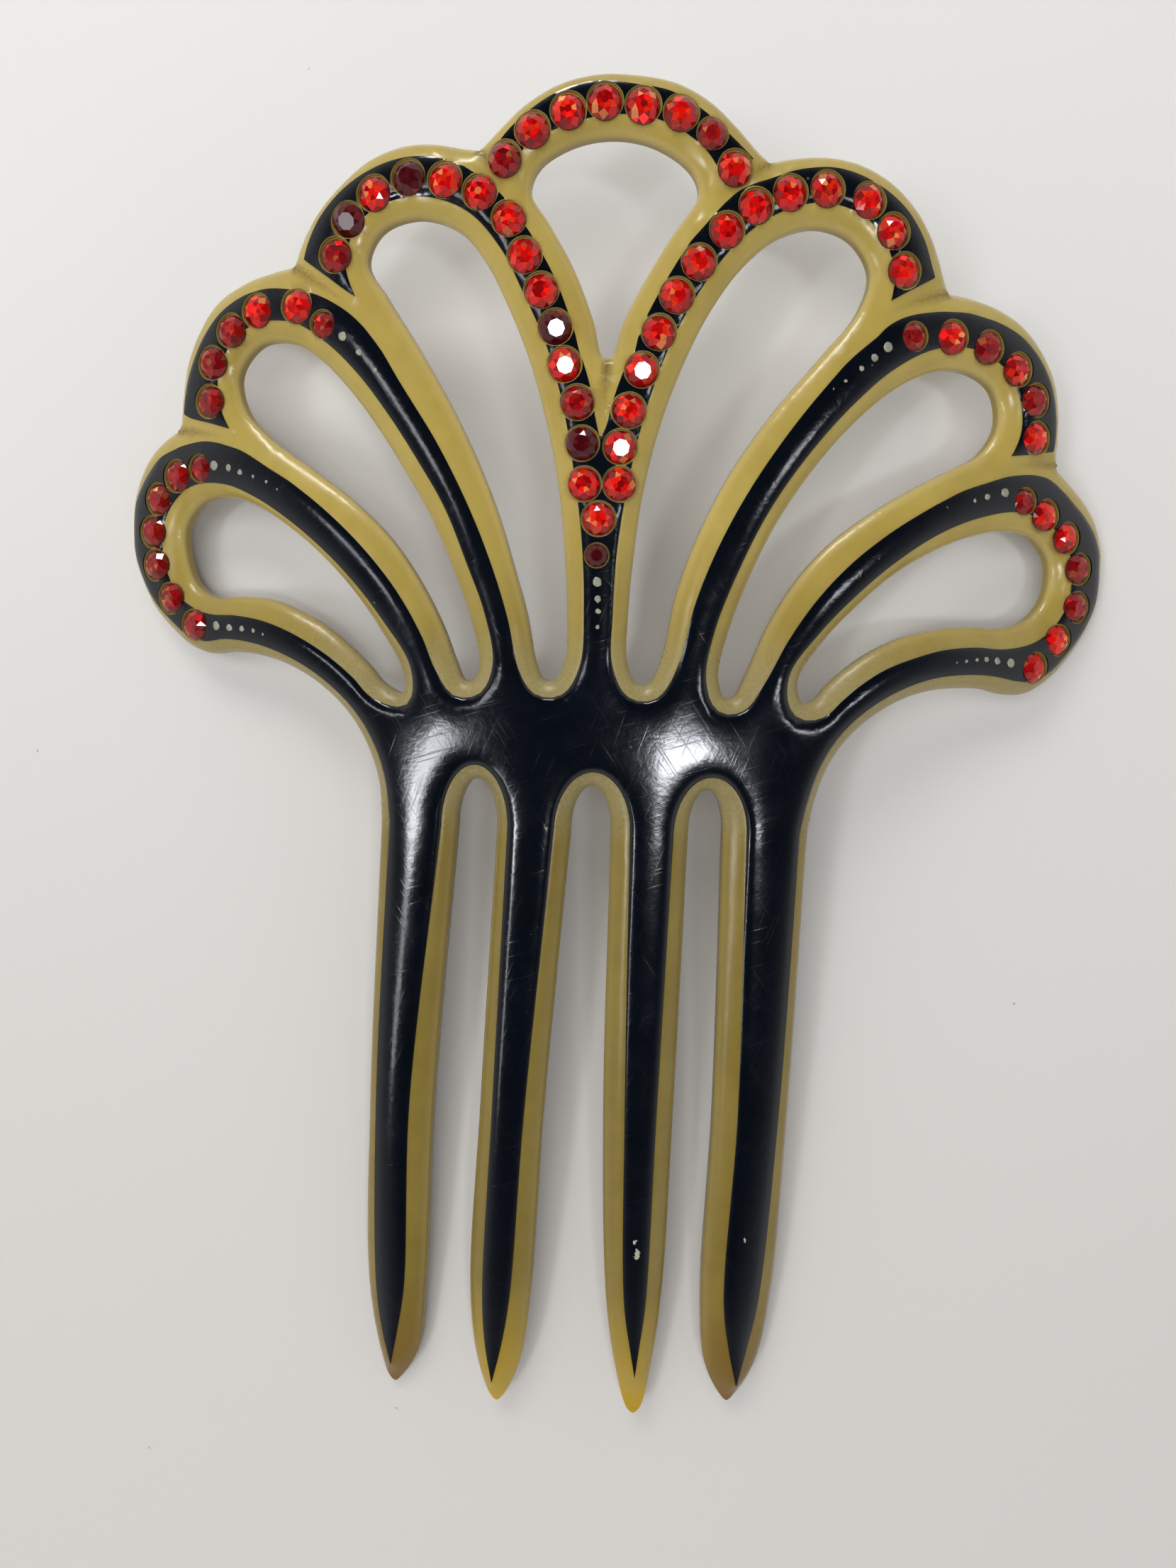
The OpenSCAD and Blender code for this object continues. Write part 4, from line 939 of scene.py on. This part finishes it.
# Each stone leans by about 2 degrees in its pit and is turned by up to one side of its table
lean_spread, turn_most = 0.035, 0.8
random = np.random.default_rng(1925)
number = 0
for name, row in stone_rows.items():
    points = bpy.data.meshes.new("paste_" + name)
    points.from_pydata([(s * mm, t * mm, seat_h * mm) for s, t, kind, w in row], [], [])
    leans = []
    for s, t, kind, w in row:
        sway = random.normal(0, lean_spread, 2)
        if kind >= 3:
            sway = towards_lamp(s, t, "lamp_left_end" if kind == 4 else "lamp_right")
        spin = random.uniform(0, turn_most)
        leans.append((sway[0] * math.cos(spin) + sway[1] * math.sin(spin),
                      sway[1] * math.cos(spin) - sway[0] * math.sin(spin), spin))
    mark(points, "width", [w * mm for s, t, kind, w in row])
    mark(points, "look", [foil_looks[kind] for s, t, kind, w in row])
    mark(points, "seed", [number + k + 0.5 for k in range(len(row))])
    mark(points, "lean", leans)
    number += len(row)
    group = bent_piece("paste_" + name, points, stone_look, 0,
                       (setting, {"Stone": chaton_piece, "Width share": stone_share}))
    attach(group, "root")
    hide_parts(name)
bpy.data.objects.remove(chaton_piece)

# ---- Silver dots
# Small silvered dots that run out from the rows of stones along the black strips, smaller and
# smaller. They're drops of silver paint, uneven, worn and gone grey.

# Place across and along, and diameter
dots = [[-52, 33.1, 1.2], [-49.7, 32.8, 0.9], [-47.9, 32.2, 0.7], [-45.9, 31.6, 0.5],
        [-43.9, 30.9, 0.4], [-42.3, 30, 0.3], [-52, 12.4, 1.2], [-49.9, 12.2, 0.9],
        [-47.9, 12.1, 0.7], [-46.1, 11.9, 0.5], [-44.6, 11.5, 0.3], [-33, 48.4, 1.1],
        [-30.8, 46.5, 0.8], [-28.6, 44.3, 0.5], [-0.1, 19.2, 1.2], [0, 17.1, 0.9], [0.1, 15.6, 0.7],
        [0.1, 13.7, 0.5], [35.2, 48.9, 1.2], [33.5, 47.5, 0.9], [31.9, 46.1, 0.7],
        [29.9, 44.5, 0.5], [28.4, 43.4, 0.3], [53.6, 32.5, 1.2], [50.9, 31.8, 0.8], [49, 31.2, 0.5],
        [56.6, 10.6, 1.2], [54.4, 10.8, 0.9], [52.6, 11, 0.7], [51.1, 10.9, 0.5], [49.5, 10.7, 0.4],
        [48, 10.5, 0.3]]
dot_points = bpy.data.meshes.new("painted_dots")
dot_points.from_pydata([(s * mm, t * mm, face_height[face_tree.find((s, t, 0))[1]] * mm)
                        for s, t, d in dots], [], [])
mark(dot_points, "width", [d * mm for s, t, d in dots])

drops, given = open_tree("silver_drops", Height_share="Float", Unevenness="Float", Seed="Int")
ball = add(drops, "GeometryNodeMeshUVSphere", Segments=14, Rings=6, Radius=0.5)
width = add(drops, "GeometryNodeInputNamedAttribute", data_type="FLOAT", Name="width")
wide, turned = (add(drops, "FunctionNodeRandomValue", data_type="FLOAT", _2=least, _3=most,
                    Seed=given["Seed"]) for least, most in ((0.85, 1.1), (0.0, 3.1)))
oval = add(drops, "ShaderNodeCombineXYZ", X=wide, Y=1.0, Z=given["Height share"])
oval = add(drops, "ShaderNodeVectorMath", operation="SCALE", _0=oval, Scale=width)
spun = add(drops, "ShaderNodeCombineXYZ", Z=turned)
placed = add(drops, "GeometryNodeInstanceOnPoints", Points=given["Geometry"], Instance=ball,
             Rotation=spun, Scale=oval)
whole = add(drops, "GeometryNodeRealizeInstances", Geometry=placed)
# Their outlines are uneven by 0.5 mm waves, and their height stays
spot = add(drops, "GeometryNodeInputPosition")
wobble = add(drops, "ShaderNodeTexNoise", Vector=spot, Scale=2200.0, Detail=1.0)
off = add(drops, "ShaderNodeVectorMath", operation="SUBTRACT", _0=wobble.outputs["Color"],
          _1=(0.5, 0.5, 0.5))
off = add(drops, "ShaderNodeVectorMath", operation="MULTIPLY", _0=off, _1=(1.0, 1.0, 0.0))
off = add(drops, "ShaderNodeVectorMath", operation="SCALE", _0=off, Scale=given["Unevenness"])
close_tree(drops, given, add(drops, "GeometryNodeSetPosition", Geometry=whole, Offset=off))

# Silver paint gone grey: a rough metal film with dull patches 0.6 mm across
dot_look, tree, shader = material("tarnished_silver_paint")
place = add(tree, "ShaderNodeTexCoord").outputs["Object"]
patches = add(tree, "ShaderNodeTexNoise", Vector=place, Scale=1600.0, Detail=2.0)
tarnish = add(tree, "ShaderNodeMix", data_type="RGBA", _0=patches, _6=linear("#6E6C5C"),
              _7=linear("#BEBEAC"))
feed(tree, shader, Base_Color=tarnish, Metallic=0.45, Roughness=0.5)

silver = bent_piece("painted_dots", dot_points, dot_look, 60,
                    (drops, {"Height share": 0.22, "Unevenness": 0.0003, "Seed": 4}))
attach(silver, "root")
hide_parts("silver_dots")
